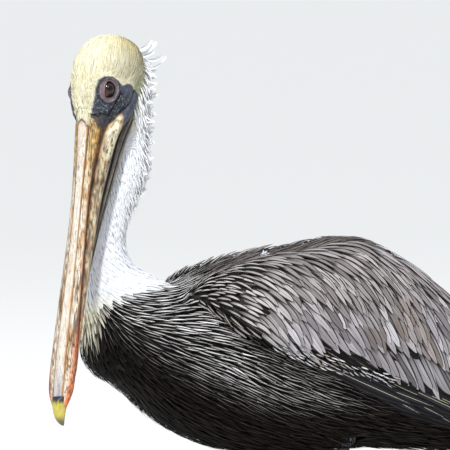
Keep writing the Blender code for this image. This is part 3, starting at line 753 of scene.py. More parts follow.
def head_loft(name, rows, outline, relief=None):
    """A closed piece through sections (back, top, bottom, half width) of the head's frame. Its map
    holds, in tenths of a metre, how far round and how far along it each point lies."""
    count = len(outline)
    across = np.r_[0, np.cumsum(np.linalg.norm(np.diff(outline * (0.015, 0.008), axis=0), axis=1))]
    rings = []
    for i, (back, top, bottom, half) in enumerate(rows):
        ring = np.c_[outline[:, 0] * half, np.full(count, back), bottom + outline[:, 1] * (top - bottom)]
        if relief is not None:
            ring = ring + relief(ring)
        rings.append(ring)
    co = np.vstack(rings + [rings[0].mean(0), rings[-1].mean(0)])
    faces, maps = [], []
    for i in range(len(rings) - 1):
        v0, v1 = (abs(rows[k][0] - rows[0][0]) * 10 for k in (i, i + 1))
        for j in range(count):
            k = (j + 1) % count
            faces.append((i * count + j, i * count + k, (i + 1) * count + k, (i + 1) * count + j))
            u0, u1 = across[j] * 10, (across[j] + 0.0006 if k == 0 else across[k]) * 10
            maps += [(u0, v0), (u1, v0), (u1, v1), (u0, v1)]
    for ring, pole in ((0, len(co) - 2), (len(rings) - 1, len(co) - 1)):
        for j in range(count):
            faces.append((ring * count + j, ring * count + (j + 1) % count, pole))
            maps += [(across[j] * 10, 0.0)] * 3
    data = bpy.data.meshes.new(name)
    data.from_pydata(moved(co, head_frame).tolist(), [], faces)
    data.uv_layers.new(name="horn")
    data.uv_layers["horn"].uv.foreach_set("vector", np.array(maps, np.float32).ravel())
    obj = new_object(name, data)
    pick(obj)
    bpy.ops.object.mode_set(mode="EDIT")
    bpy.ops.mesh.select_all(action="SELECT")
    bpy.ops.mesh.normals_make_consistent(inside=False)
    bpy.ops.object.mode_set(mode="OBJECT")
    data.shade_smooth()
    return obj, co


def horn_material(name, rough, bump_strength):
    """Bill horn: a dry semi-gloss sheath with flakes and speckles drawn out along the bill."""
    made, tree, shader = new_material(name)
    tint = add(tree, "ShaderNodeAttribute", attribute_name="tint")
    place = add(tree, "ShaderNodeUVMap", uv_map="horn")
    long = add(tree, "ShaderNodeMapping", {"Vector": place.outputs[0]}, {"Scale": (1.0, 0.16, 1.0)})
    along = {"Vector": long.outputs[0]}
    fleck = add(tree, "ShaderNodeTexNoise", along, {"Scale": 95, "Detail": 4, "Roughness": 0.7})
    spots = add(tree, "ShaderNodeMapRange", {0: fleck.outputs["Fac"]}, {1: 0.52, 2: 0.59, 3: 0.0, 4: 1.0})
    wide = add(tree, "ShaderNodeTexNoise", along, {"Scale": 14, "Detail": 3})
    zone = add(tree, "ShaderNodeMapRange", {0: wide.outputs["Fac"]}, {1: 0.40, 2: 0.58, 3: 0.25, 4: 1.0})
    some = add(tree, "ShaderNodeMath", {0: spots.outputs[0], 1: zone.outputs[0]}, operation="MULTIPLY")
    much = add(tree, "ShaderNodeMath", {0: some.outputs[0], 1: tint.outputs["Alpha"]}, operation="MULTIPLY")
    blotch = add(tree, "ShaderNodeTexNoise", along, {"Scale": 48, "Detail": 7, "Roughness": 0.8})
    rust = add(tree, "ShaderNodeMapRange", {0: blotch.outputs["Fac"]}, {1: 0.52, 2: 0.62, 3: 0.0, 4: 0.78})
    rusty = add(tree, "ShaderNodeMath", {0: rust.outputs[0], 1: tint.outputs["Alpha"]}, operation="MULTIPLY")
    rust_brown, speck_brown = ((*linear(code), 1) for code in ("A0602A", "2B2019"))
    stained = add(tree, "ShaderNodeMix", {0: rusty.outputs[0], 6: tint.outputs["Color"]}, {7: rust_brown},
                  data_type="RGBA")  # fmt: skip
    speck = add(tree, "ShaderNodeMix", {0: much.outputs[0], 6: stained.outputs[2]}, {7: speck_brown},
                data_type="RGBA")  # fmt: skip
    tree.links.new(speck.outputs[2], shader.inputs["Base Color"])
    grain = add(tree, "ShaderNodeTexNoise", along, {"Scale": 150, "Detail": 3})
    bump = add(tree, "ShaderNodeBump", {"Height": grain.outputs["Fac"]},
               {"Strength": bump_strength, "Distance": 0.0004})  # fmt: skip
    tree.links.new(bump.outputs["Normal"], shader.inputs["Normal"])
    shader.inputs["Roughness"].default_value = rough
    return made


def brow_limit(out):
    """How far back the ridge's horn shows under the forehead's feathers: an arch on the ridge."""
    return -0.0020 - 0.0068 * (np.minimum(out, 0.36) / 0.36) ** 2 + 0.0198 * smooth_step(out, 0.37, 0.48)


bill_horn = horn_material("bill_horn_ivory", 0.40, 0.45)

rows = smooth_rows(UPPER, 9)
upper, co = head_loft("bill_upper_horn", rows, ridged())
UPPER_SPANS = rows[::-1][:, [0, 3]]
half = np.interp(co[:, 1], *UPPER_SPANS.T)
out = np.abs(co[:, 0]) / half  # 0 on the ridge, 1 at the cutting edge
along = -co[:, 1] / BILL_LENGTH
streaks = crumple(co * (1.0, 0.12, 1.0), 0.0022, 2.0)
blots = crumple(co * (1.0, 0.35, 1.0), 0.0060, 7.0)
dots = crumple(co * (1.0, 0.45, 1.0), 0.0013, 3.0)
ridge = smooth_step(-out, -0.37, -0.31)
slaty = smooth_step(along, 0.76, 0.92)
groove = np.exp(-(((out - 0.405) / 0.046) ** 2))
strip = smooth_step(out, 0.42, 0.50)  # the sloping side
near_root = strip * smooth_step(-along, -0.40, -0.15)
at_root = strip * smooth_step(-along, -0.30, -0.10)
mottled_root = strip * smooth_step(-along, -0.24, -0.12)
mottled_side = strip * smooth_step(along, 0.34, 0.52)
tip = smooth_step(along, 0.66, 0.90)
reddish = smooth_step(out, 0.74, 0.92) * smooth_step(along, 0.64, 0.78) * (1 - tip)
from_brow = brow_limit(out) - co[:, 1]
bare_root = co[:, 1] + 0.0005 + 0.0100 * smooth_step(out, 0.45, 0.95)
bare_root = smooth_step(bare_root, -0.0004, 0.0006) * smooth_step(out, 0.40, 0.46)
horn = painted(mix("D6CAAE", "F6F0E0", 0.5 + 0.5 * streaks), (
    # stains and specks all over, and amber at the root
    ("C98F48", smooth_step(blots, 0.04, 0.32) * 0.65),
    ("94602C", smooth_step(dots, 0.13, 0.32) * 0.65),
    ("CF9A55", smooth_step(-along, -0.10, -0.03) * (0.5 + 0.5 * streaks) * 0.8),
    # the ridge, then the ochre, and painted shade in a dark line along its groove
    (mix("E9E4DC", "8A92A6", slaty * (0.7 + 0.5 * blots)), ridge * (0.55 + 0.35 * slaty)),
    ("B9782C", np.exp(-(((out - 0.33) / 0.04) ** 2)) * smooth_step(streaks, -0.3, 0.3) * 0.6),
    ("C08A2C", np.exp(-(((out - 0.37) / 0.045) ** 2)) * 0.75),
    ("17110A", groove * (1.0 - 0.45 * smooth_step(along, 0.18, 0.40))),
    # the side near the root
    (mix("AC7C2A", "E3C67E", 0.5 + 0.5 * streaks), strip * smooth_step(-along, -0.30, -0.08) * 0.9),
    ("6B4A1E", near_root * smooth_step(dots, 0.02, 0.26) * 0.65),
    ("5F4422", at_root * smooth_step(blots, 0.14, 0.32) * 0.6),
    # the cutting edge, redder towards the tip, with painted shade in a black line where it meets the lower
    # bill
    (mix("94631E", "C77A30", smooth_step(along, 0.15, 0.40)), smooth_step(out, 0.80, 0.95) * 0.8),
    ("1C110A", smooth_step(out, 0.90, 0.98) * 0.95),
    ("B9483A", reddish * 0.8),
    ("D4562A", smooth_step(out, 0.60, 0.90) * smooth_step(along, 0.80, 0.90) * 0.9),
    ("DD7A38", smooth_step(out, 0.5, 0.8) * tip * 0.5),
    # the edge of the forehead, and the bare skin of the root
    ("B07C4A", smooth_step(-from_brow, -0.0060, -0.0005) * 0.7),
    ("D0C79A", smooth_step(-from_brow, 0.0, 0.0006) * smooth_step(-out, -0.52, -0.46)),
    ("2A2B30", np.exp(-(((from_brow - 0.0007) / 0.0012) ** 2)) * 0.9),
    (mix("12151E", "343A4B", 0.5 + 0.5 * dots), bare_root),
    # specks over the side
    ("4E3415", mottled_root * smooth_step(dots + 0.5 * blots, -0.05, 0.20) * 0.7),
    ("35302F", mottled_side * smooth_step(dots + 0.6 * blots, 0.02, 0.22) * 0.75),
))  # fmt: skip
speckled = (0.60 + 0.40 * smooth_step(out, 0.36, 0.5)) * (1 - 0.6 * smooth_step(along, 0.86, 0.92))
speckled = speckled * (1 - bare_root)
set_colours(upper.data, tint=np.c_[horn, speckled])
upper.data.materials.append(bill_horn)
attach(upper, "root")
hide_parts("bill_upper")

rows = smooth_rows(LOWER, 9)
lower, co = head_loft("bill_lower_horn", rows, oval(48))
half = np.interp(co[:, 1], rows[::-1, 0], rows[::-1, 3])
low_edge, top_edge = (np.interp(co[:, 1], rows[::-1, 0], rows[::-1, k]) for k in (2, 1))
rise = (co[:, 2] - low_edge) / (top_edge - low_edge)
along = -co[:, 1] / BILL_LENGTH
streaks = crumple(co * (1.0, 0.12, 1.0), 0.0024, 4.0)
blots = crumple(co * (1.0, 0.40, 1.0), 0.0048, 9.0)
# Where the ivory ends and bare skin begins, as (back, up) in the head's frame.
IVORY_END = ((-0.060, 0.000), (-0.0122, -0.0147), (0.0001, -0.0171), (0.0066, -0.0196),
             (0.0100, -0.0245), (0.0098, -0.0300), (0.0051, -0.0325), (-0.0032, -0.0312),
             (-0.020, -0.0480), (-0.060, -0.060))  # fmt: skip
dots = crumple(co * (1.0, 0.45, 1.0), 0.0012, 14.0)
blotched = smooth_step(blots, 0.16, 0.42) * (0.4 + 0.6 * smooth_step(along, 0.02, 0.10))
bruise = np.exp(-(((along - 0.130) / 0.032) ** 2)) * smooth_step(blots, -0.04, 0.08)
crusted = np.exp(-(((along - 0.205) / 0.035) ** 2)) * smooth_step(dots, -0.10, 0.04)
specked = smooth_step(along, 0.20, 0.30) * smooth_step(dots + 0.4 * blots, -0.04, 0.20)
beyond = edge_distance(co[:, 1], co[:, 2], IVORY_END)
hide = smooth_step(beyond, 0.0002, 0.0010) * (co[:, 1] > -0.02)
horn = painted(mix("DAD0A6", "F6F0D5", 0.5 + 0.5 * streaks), (
    # stains and specks
    ("B88A3C", smooth_step(blots, -0.35, -0.10) * smooth_step(-blots, -0.05, 0.10) * 0.5),
    ("7A6A50", smooth_step(dots, 0.16, 0.40) * 0.75),
    ("8C7254", smooth_step(along, 0.05, 0.24) * (0.25 + 0.5 * smooth_step(streaks, -0.3, 0.3))),
    ("6E5A4E", blotched * 0.75),
    # ochre along the top edge, and in a line low on the side
    ("9C6A2C", smooth_step(rise, 0.80, 0.94) * 0.75),
    ("B58A3C", np.exp(-(((rise - 0.24) / 0.05) ** 2)) * (0.5 + 0.5 * streaks) * 0.8),
    # a dark blotch, a dense band of specks, and brown towards the tip
    ("4C3C38", bruise * 0.85),
    ("32230F", crusted * 0.9),
    ("3E3026", specked * 0.8),
    ("A0622F", smooth_step(along, 0.40, 0.80) * 0.7),
    # the lower edge, and the skin where the ivory ends
    ("1B191B", smooth_step(-rise, -0.19, -0.12) * 0.95),
    ("9A6E30", np.exp(-((beyond / 0.0010) ** 2)) * (co[:, 1] > -0.02) * 0.8),
    (mix("1E2230", "565A6B", 0.5 + 0.5 * crumple(co, 0.0016, 3.0)), hide),
))  # fmt: skip
set_colours(lower.data, tint=np.c_[horn, np.where(hide > 0.5, 0.42, 0.9)])
lower.data.materials.append(bill_horn)
lower.data.materials.append(leather)
for face in lower.data.polygons:
    face.material_index = int(np.mean(hide[list(face.vertices)]) > 0.5)
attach(lower, "root")
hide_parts("bill_lower")


FOLDS = 13


def folds(ring):
    """The empty pouch is drawn up in folds that run along it."""
    middle = ring.mean(0)
    away = ring - middle
    turn = np.arctan2(away[:, 0], away[:, 2])
    crease = -0.06 + 0.05 * np.cos(turn * FOLDS) + 0.02 * np.cos(turn * 31 + ring[:, 1] * 60)
    return away * crease[:, None]


rows = smooth_rows(POUCH, 10)
pouch, co = head_loft("pouch_skin", rows, oval(120), folds)
wave = crumple(co * (1.0, 0.3, 1.0), 0.004, 6.0)
centre = np.interp(co[:, 1], rows[::-1, 0], (rows[::-1, 1] + rows[::-1, 2]) / 2)
turn = np.arctan2(co[:, 0], co[:, 2] - centre)
crease = np.cos(turn * FOLDS)
speck = crumple(co, 0.0009, 41.0)
skin_tone = painted(mix("5F584F", "8A8177", 0.5 + 0.5 * wave), (
    ("2A2724", smooth_step(speck, 0.0, 0.3) * 0.6),
    ("08090C", smooth_step(-crease, 0.20, 0.75)),  # the shade in the folds
))  # fmt: skip
set_colours(pouch.data, tint=np.c_[skin_tone, np.full(len(co), 0.55)])
pouch.data.materials.append(leather)
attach(pouch, "root")
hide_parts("pouch")

# The nail: a smooth claw of denser horn, dark and streaked where it grows out of the ridge.
NAIL = (
    (-0.2790, 0.0000, -0.0068, 0.0080), (-0.2845, 0.0012, -0.0118, 0.0078),
    (-0.2925, 0.0002, -0.0112, 0.0064), (-0.2990, -0.0022, -0.0118, 0.0048),
    (-0.3030, -0.0058, -0.0128, 0.0030), (-0.3056, -0.0100, -0.0137, 0.0011),
)  # fmt: skip
NAIL_START, NAIL_LENGTH = 0.279, 0.0266  # both along the bill
rows = smooth_rows(NAIL, 8)
nail, co = head_loft("bill_nail_horn", rows, oval(32))
nail_horn = horn_material("bill_nail_horn", 0.28, 0.12)
along = (-co[:, 1] - NAIL_START) / NAIL_LENGTH
wave = crumple(co * (1.0, 0.1, 1.0), 0.0016, 4.0)
horn = painted(mix("B9A93F", "D8CC6B", 0.5 + 0.5 * wave), (
    ("2B2E38", smooth_step(-along + 0.25 * wave, -0.34, -0.12)),
    ("6F6A4E", smooth_step(along, 0.66, 0.95)),
    ("D9DCDD", smooth_step(-co[:, 2], 0.0095, 0.0112) * smooth_step(-along, -0.75, -0.6) * 0.8),
))  # fmt: skip
set_colours(nail.data, tint=np.c_[horn, np.full(len(co), 0.2)])
nail.data.materials.append(nail_horn)
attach(nail, "root")
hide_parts("bill_nail")


# ---- the coat: how feathers grow -----------------------------------------------------------------
# A feather is a thin curved vane on a shaft. Its root is in the skin, it lies along the body over
# those behind it, and its tip reaches the outline. Each is a strip of mesh that follows the skin.

quads = [p for p in skin.data.polygons if len(p.vertices) == 4]
corners = np.array([tuple(p.vertices) for p in quads])
skin_points, skin_normals = points_of(skin), normals_of(skin)
unwrap = skin.data.uv_layers["OFBake"].uv
face_maps = np.array([sum((unwrap[k].vector for k in p.loop_indices), Vector((0, 0))) / 4 for p in quads])
bed = BVHTree.FromPolygons(skin_points.tolist(), corners.tolist())

# The forehead's feathers also grow over the root of the ridge, down to an arch.
brow = np.array([tuple(p.vertices) for p in upper.data.polygons if len(p.vertices) == 4])
brow_points = points_of(upper)
at = moved(brow_points[brow].mean(1), to_head)
out = np.abs(at[:, 0]) / np.interp(at[:, 1], UPPER_SPANS[:, 0], UPPER_SPANS[:, 1])
brow = brow[(at[:, 1] > brow_limit(out)) & (at[:, 1] < 0.003) & (at[:, 2] > -0.0125)]
near_skin = [bed.find_nearest(p)[2] for p in brow_points[brow].mean(1).tolist()]
face_maps = np.vstack([face_maps, face_maps[near_skin]])
corners = np.vstack([corners, brow + len(skin_points)])
skin_points = np.vstack([skin_points, brow_points])
skin_normals = np.vstack([skin_normals, normals_of(upper)])
bed = BVHTree.FromPolygons(skin_points.tolist(), corners.tolist())

face_corners = skin_points[corners]
face_middles = face_corners.mean(1)
face_normals = unit(skin_normals[corners].mean(1))
spans = np.cross(face_corners[:, 2] - face_corners[:, 0], face_corners[:, 3] - face_corners[:, 1])
face_areas = np.linalg.norm(spans, axis=1) / 2
face_regions = region_of(face_middles)
face_regions[len(quads) :] = "head"
face_heads = moved(face_middles, to_head)
face_bare = (face_edge(face_heads) < 0.0003) & np.isin(face_regions, ("head", "neck_upper"))
face_bare[len(quads) :] = False


def lie_of(table, reach=0.03):
    """How feathers lie: a heading at any point, from a few headings set down on the left side."""
    rows = np.array(table, float)
    at = np.vstack([rows[:, :3], rows[:, :3] * (-1, 1, 1)])
    go = unit(np.vstack([rows[:, 3:], rows[:, 3:] * (-1, 1, 1)]))

    def heading(p):
        near = 1 / (((p[:, None] - at) ** 2).sum(-1) + reach**2) ** 2.5
        return unit((near[:, :, None] * go).sum(1))

    return heading


def scatter(wanted, gap, stretch, heading, seed):
    """Roots over the wanted faces of the skin: gap apart across the lie, and stretch times that
    along it. Returns the points and the face that each lies on."""
    rng = np.random.default_rng(seed)
    gaps = np.broadcast_to(gap, len(face_middles))
    share = face_areas / (gaps**2 * stretch) * wanted
    total = int(share.sum() * 4.0)  # four tries for each root
    faces = rng.choice(len(share), total, p=share / share.sum())
    a, b = rng.random((2, total, 1))
    c = face_corners[faces]
    points = (c[:, 0] * (1 - a) + c[:, 1] * a) * (1 - b) + (c[:, 3] * (1 - a) + c[:, 2] * a) * b
    lie = heading(points)
    normal = face_normals[faces]
    lie = unit(lie - (lie * normal).sum(1, keepdims=True) * normal)
    cell = float(gaps[wanted].max()) * stretch
    taken, kept = {}, []
    steps = [(i, j, k) for i in (-1, 0, 1) for j in (-1, 0, 1) for k in (-1, 0, 1)]
    for n, (p, d, g) in enumerate(zip(points.tolist(), lie.tolist(), gaps[faces].tolist())):
        x, y, z = (int(v // cell) for v in p)
        clear = True
        for i, j, k in steps:
            for q in taken.get((x + i, y + j, z + k), ()):
                u, v, w = q[0] - p[0], q[1] - p[1], q[2] - p[2]
                along = u * d[0] + v * d[1] + w * d[2]
                across = u * u + v * v + w * w - along * along
                if across + (along / stretch) ** 2 < g * g:
                    clear = False
                    break
            if not clear:
                break
        if clear:
            taken.setdefault((x, y, z), []).append(p)
            kept.append(n)
    return points[kept], faces[kept]


def follow(roots, faces, heading, length, steps, steady=0.35):
    """Paths that lie on the skin from each root: places, normals and directions, step by step."""
    point, normal = roots, face_normals[faces]
    go = heading(point)
    go = unit(go - (go * normal).sum(1, keepdims=True) * normal)
    path = [(point, normal, go)]
    for _ in range(steps - 1):
        reach = point + go * (np.broadcast_to(length, len(roots)) / (steps - 1))[:, None]
        found = [bed.find_nearest(p) for p in reach.tolist()]
        point = np.array([f[0] for f in found])
        normal = unit(normal * 0.3 + face_normals[[f[2] for f in found]] * 0.7)
        go = unit(go * steady + heading(point) * (1 - steady))
        go = unit(go - (go * normal).sum(1, keepdims=True) * normal)
        path.append((point, normal, go))
    places, normals, gos = (np.array([p[k] for p in path]).transpose(1, 0, 2) for k in range(3))
    for _ in range(2):
        places[:, 1:-1] = (places[:, :-2] + 2 * places[:, 1:-1] + places[:, 2:]) / 4
    return places, normals, gos


def reach_for(roots, faces, tips, tip_normals, steps, clear=0.0008):
    """Straight paths from roots to tips, pushed out where they would dip into the skin."""
    share = np.linspace(0, 1, steps)[None, :, None]
    places = roots[:, None] * (1 - share) + tips[:, None] * share
    normals = unit(face_normals[faces][:, None] * (1 - share) + unit(tip_normals)[:, None] * share)
    flat = places.reshape(-1, 3)
    for n, p in enumerate(flat.tolist()):
        hit, _, face, _ = bed.find_nearest(p)
        high = (flat[n] - np.array(hit)) @ face_normals[face]
        if high < clear:
            flat[n] += face_normals[face] * (clear - high)
    places = flat.reshape(places.shape)
    for _ in range(2):
        places[:, 1:-1] = (places[:, :-2] + 2 * places[:, 1:-1] + places[:, 2:]) / 4
    gos = unit(np.gradient(places, axis=1))
    return places, normals, gos


BURIED = -0.0025  # how high a feather lies where it dives under the skin
CAMBER = 0.10  # how far a vane's edges droop, as a share of half its width
TUFT_PATCH = 0.003  # each feather's share of the skin's unwrap


def vanes(name, path, faces, width, depth, outline, rise, colours, seed,
          columns=3, bank=0.12, bury=None):  # fmt: skip
    """Joined feathers along their paths. outline is the width along a feather as shares of width,
    from root to tip, and rise its height as shares of depth. colours are the vane's and the streak's,
    for each feather. Where bury is true, a feather dives under the skin."""
    rng = np.random.default_rng(seed)
    places, normals, gos = path
    count, steps = places.shape[:2]
    width, depth = (np.broadcast_to(v, count).astype(float) for v in (width, depth))
    length = np.linalg.norm(np.diff(places, axis=1), axis=2).sum(1)
    sides = unit(np.cross(normals, gos))
    jitter = 1 + 0.14 * rng.standard_normal((count, 1))
    lift = np.array(rise)[None] * depth[:, None] * jitter
    if bury is not None:
        lift = np.where(bury, BURIED, lift)
    tilt = (bank + 0.05 * rng.standard_normal((count, 1))) * np.linspace(0.4, 1, steps)
    skew = 0.05 * rng.standard_normal((count, 1)) * np.linspace(0, 1, steps) ** 2 * length[:, None]
    half = width[:, None] / 2 * np.array(outline)[None]
    co = np.empty((count, steps, columns, 3))
    for k, e in enumerate(np.linspace(-1, 1, columns)):
        high = lift + e * tilt * half - CAMBER * half * e * e
        co[:, :, k] = places + normals * high[:, :, None] + sides * (e * half + skew)[:, :, None]
    cells = np.arange(count * steps * columns).reshape(count, steps, columns)
    quad = [cells[:, :-1, :-1], cells[:, :-1, 1:], cells[:, 1:, 1:], cells[:, 1:, :-1]]
    quad = np.stack(quad, -1).reshape(-1, 4).astype(np.int32)
    data = bpy.data.meshes.new(name)
    data.vertices.add(co.size // 3)
    data.vertices.foreach_set("co", co.astype(np.float32).ravel())
    data.loops.add(quad.size)
    data.loops.foreach_set("vertex_index", quad.ravel())
    data.polygons.add(len(quad))
    data.polygons.foreach_set("loop_start", np.arange(len(quad), dtype=np.int32) * 4)
    u = np.broadcast_to(np.linspace(0, 1, columns), (count, steps, columns))
    v = np.broadcast_to(np.linspace(0, 1, steps)[None, :, None], (count, steps, columns))
    vane_map = np.stack([u, v], -1)
    bake = face_maps[faces][:, None, None] + (vane_map - 0.5) * TUFT_PATCH
    for layer, rows in (("OFBake", bake), ("vane", vane_map)):
        data.uv_layers.new(name=layer)
        rows = rows.reshape(-1, 2)[quad.ravel()]
        data.uv_layers[layer].uv.foreach_set("vector", rows.astype(np.float32).ravel())
    each = steps * columns
    set_colours(data, tint=np.repeat(colours[0], each, 0), streak=np.repeat(colours[1], each, 0))
    luck = data.attributes.new("luck", "FLOAT", "POINT")
    luck.data.foreach_set("value", np.repeat(rng.random(count), each).astype(np.float32))
    data.update(calc_edges=True)
    data.shade_smooth()
    return new_object(name, data)


def dyed(low, high, luck, extra):
    """Colours between low and high, a row for each feather's luck, and one more number in each row."""
    return np.c_[mix(low, high, luck), np.full(len(luck), extra)]


def feather_material(name, rough, root_shade, barbs, shaft=None, shaft_width=0.05,
                     margin="E2E2E4", shine=0.3):  # fmt: skip
    """Keratin vane: matt and faintly ribbed by its barbs, with a streak down its middle, a margin
    where the colour layer asks for one, a root darkened as painted shade under the feathers over it, and a
    shaft where it shows."""
    made, tree, shader = new_material(name)
    tint = add(tree, "ShaderNodeAttribute", attribute_name="tint")
    streak = add(tree, "ShaderNodeAttribute", attribute_name="streak")
    luck = add(tree, "ShaderNodeAttribute", attribute_name="luck")
    place = add(tree, "ShaderNodeUVMap", uv_map="vane")
    parts = add(tree, "ShaderNodeSeparateXYZ", {0: place.outputs[0]})
    off = add(tree, "ShaderNodeMath", {0: parts.outputs[0]}, {1: 0.5}, operation="SUBTRACT")
    size = add(tree, "ShaderNodeMath", {0: off.outputs[0]}, operation="ABSOLUTE")
    centre = add(tree, "ShaderNodeMath", {0: size.outputs[0]}, {1: 2.0}, operation="MULTIPLY")
    wide = add(tree, "ShaderNodeMath", {0: streak.outputs["Alpha"]}, {1: 0.10}, operation="ADD")
    slim = add(tree, "ShaderNodeMath", {0: streak.outputs["Alpha"]}, {1: 0.10}, operation="SUBTRACT")
    mask = add(tree, "ShaderNodeMapRange", {0: centre.outputs[0], 1: wide.outputs[0], 2: slim.outputs[0]},
               {3: 0.0, 4: 1.0}, interpolation_type="SMOOTHSTEP")  # fmt: skip
    tone = add(tree, "ShaderNodeMix",
               {0: mask.outputs[0], 6: tint.outputs["Color"], 7: streak.outputs["Color"]},
               data_type="RGBA")  # fmt: skip
    own = add(tree, "ShaderNodeMath", {0: luck.outputs["Fac"]}, {1: 40.0}, operation="MULTIPLY")
    spread = add(tree, "ShaderNodeVectorMath", {0: place.outputs[0]}, {1: (9.0, 1.2, 0.0)},
                 operation="MULTIPLY")  # fmt: skip
    shift = add(tree, "ShaderNodeCombineXYZ", {0: own.outputs[0], 1: own.outputs[0]})
    here = add(tree, "ShaderNodeVectorMath", {0: spread.outputs[0], 1: shift.outputs[0]}, operation="ADD")
    ribs = add(tree, "ShaderNodeTexNoise", {"Vector": here.outputs[0]}, {"Scale": 1.6, "Detail": 4})
    light = add(tree, "ShaderNodeMapRange", {0: ribs.outputs["Fac"]},
                {1: 0.3, 2: 0.7, 3: 1 - barbs, 4: 1 + barbs})  # fmt: skip
    edge = add(tree, "ShaderNodeMapRange", {0: centre.outputs[0]}, {1: 0.74, 2: 0.93, 3: 0.0, 4: 1.0})
    rim = add(tree, "ShaderNodeMath", {0: edge.outputs[0], 1: tint.outputs["Alpha"]}, operation="MULTIPLY")
    rimmed = add(tree, "ShaderNodeMix", {0: rim.outputs[0], 6: tone.outputs[2]}, {7: (*linear(margin), 1)},
                 data_type="RGBA")  # fmt: skip
    # The root is darkened: painted shade under the feathers that lie over it.
    root = add(tree, "ShaderNodeMapRange", {0: parts.outputs[1]}, {1: 0.05, 2: 0.60, 3: root_shade, 4: 1.0},
               interpolation_type="SMOOTHSTEP")  # fmt: skip
    level = add(tree, "ShaderNodeMath", {0: root.outputs[0], 1: light.outputs[0]}, operation="MULTIPLY")
    final = add(tree, "ShaderNodeVectorMath", {0: rimmed.outputs[2], "Scale": level.outputs[0]},
                operation="SCALE")  # fmt: skip
    colour = final.outputs[0]
    if shaft:
        line = add(tree, "ShaderNodeMapRange", {0: centre.outputs[0]},
                   {1: shaft_width, 2: shaft_width * 0.4, 3: 0.0, 4: 1.0})  # fmt: skip
        lined = add(tree, "ShaderNodeMix", {0: line.outputs[0], 6: colour}, {7: (*linear(shaft), 1)},
                    data_type="RGBA")  # fmt: skip
        colour = lined.outputs[2]
    tree.links.new(colour, shader.inputs["Base Color"])
    bump = add(tree, "ShaderNodeBump", {"Height": ribs.outputs["Fac"]},
               {"Strength": 0.35, "Distance": 0.0003})  # fmt: skip
    tree.links.new(bump.outputs["Normal"], shader.inputs["Normal"])
    shader.inputs["Roughness"].default_value = rough
    shader.inputs["Specular IOR Level"].default_value = shine
    return made


def dressed(obj, material, slot, *nodes):
    """Gives a piece of the coat its material and its body, and hides the nodes it stands for; slot is not
    used.
    """
    obj.data.materials.append(material)
    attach(obj, "root")
    if nodes:
        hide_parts(*nodes)


soft_feather = feather_material("soft_contour_feather", 0.75, 0.93, 0.06, shine=0.15)
streaked_feather = feather_material("streaked_contour_feather", 0.68, 0.30, 0.25, shine=0.08)
# The coverts' near-black margin is partly their own dark edge and partly painted shade in the gaps between
# them.
covert_feather = feather_material("silvery_covert_vane", 0.52, 0.26, 0.25, "3A3431", 0.050,
                                  margin="120F0E", shine=0.15)  # fmt: skip
flight_feather = feather_material("flight_feather_vane", 0.50, 0.70, 0.25, "CFC7A8", 0.040,
                                  margin="3A393C", shine=0.12)  # fmt: skip


# ---- head and neck -------------------------------------------------------------------------------
# The head is covered in short cream plush that runs back from the bill over crown and cheek. It ends
# sharply round the bare face. The neck's white feathers are as soft, a little longer, and run down.

bill_foot = np.array(head_frame @ Vector((0, -0.030, -0.018)))
on_head = np.isin(face_regions, ("head", "neck_upper"))
head_share = smooth_step(face_heads[:, 2], -0.078, -0.066) * (face_middles[:, 2] > 0.39)


def lie_on_head(p):
    """Away from the bill, and down on to the neck at the nape and throat."""
    local = moved(p, to_head)
    away = unit(p - bill_foot)
    neck = smooth_step(-local[:, 2], 0.058, 0.080)[:, None]
    down = np.array((0.0, 0.0, -1.0))
    gape = np.exp(-((face_edge(local) / 0.008) ** 2)) * smooth_step(-local[:, 2], 0.0, 0.02)
    gape = gape[:, None]
    back = np.array(head_frame.to_3x3() @ Vector((0, 0.75, -0.55)))
    return unit(away * (1 - neck) + down * neck + back * gape * (1 - neck))


wanted = on_head & ~face_bare & (head_share > 0.5)
brow_gap = np.where(face_bare.size - np.arange(face_bare.size) <= len(brow), 0.00055, 0.00072)
roots, faces = scatter(wanted, brow_gap, 3.2, lie_on_head, 11)
rng = np.random.default_rng(12)
near = smooth_step(face_edge(moved(roots, to_head)), 0.0, 0.012)
length = np.where(faces >= len(quads), 0.0085, 0.0036 + 0.0094 * near)
length = length * (0.70 + 0.6 * rng.random(len(roots)))
plush = (0.55, 0.95, 0.95, 0.80, 0.50, 0.06)
fluffed = (-0.2, 0.4, 0.7, 0.88, 1.0, 1.05)
path = follow(roots, faces, lie_on_head, length, len(plush))
head_coat = vanes("plumage_head", path, faces, 0.00095 + 0.0004 * near, 0.0011 + 0.0004 * near,
                  plush, fluffed, markings(roots, face_regions[faces], 13), 14, bank=0.3)  # fmt: skip
dressed(head_coat, soft_feather, "plumage_head")

# Longer locks lie over the plush and give the crown and cheeks their combed look.
roots, faces = scatter(wanted & (face_edge(face_heads) > 0.004), 0.0017, 4.2, lie_on_head, 15)
rng = np.random.default_rng(16)
near = smooth_step(face_edge(moved(roots, to_head)), 0.002, 0.012)
length = (0.0065 + 0.0090 * near) * (0.75 + 0.5 * rng.random(len(roots)))
path = follow(roots, faces, lie_on_head, length, len(plush))
locks = vanes("plumage_head_locks", path, faces, 0.0012 + 0.0006 * rng.random(len(roots)), 0.0021,
              plush, fluffed, markings(roots, face_regions[faces], 17), 18, bank=0.35)  # fmt: skip
dressed(locks, soft_feather, "plumage_head")

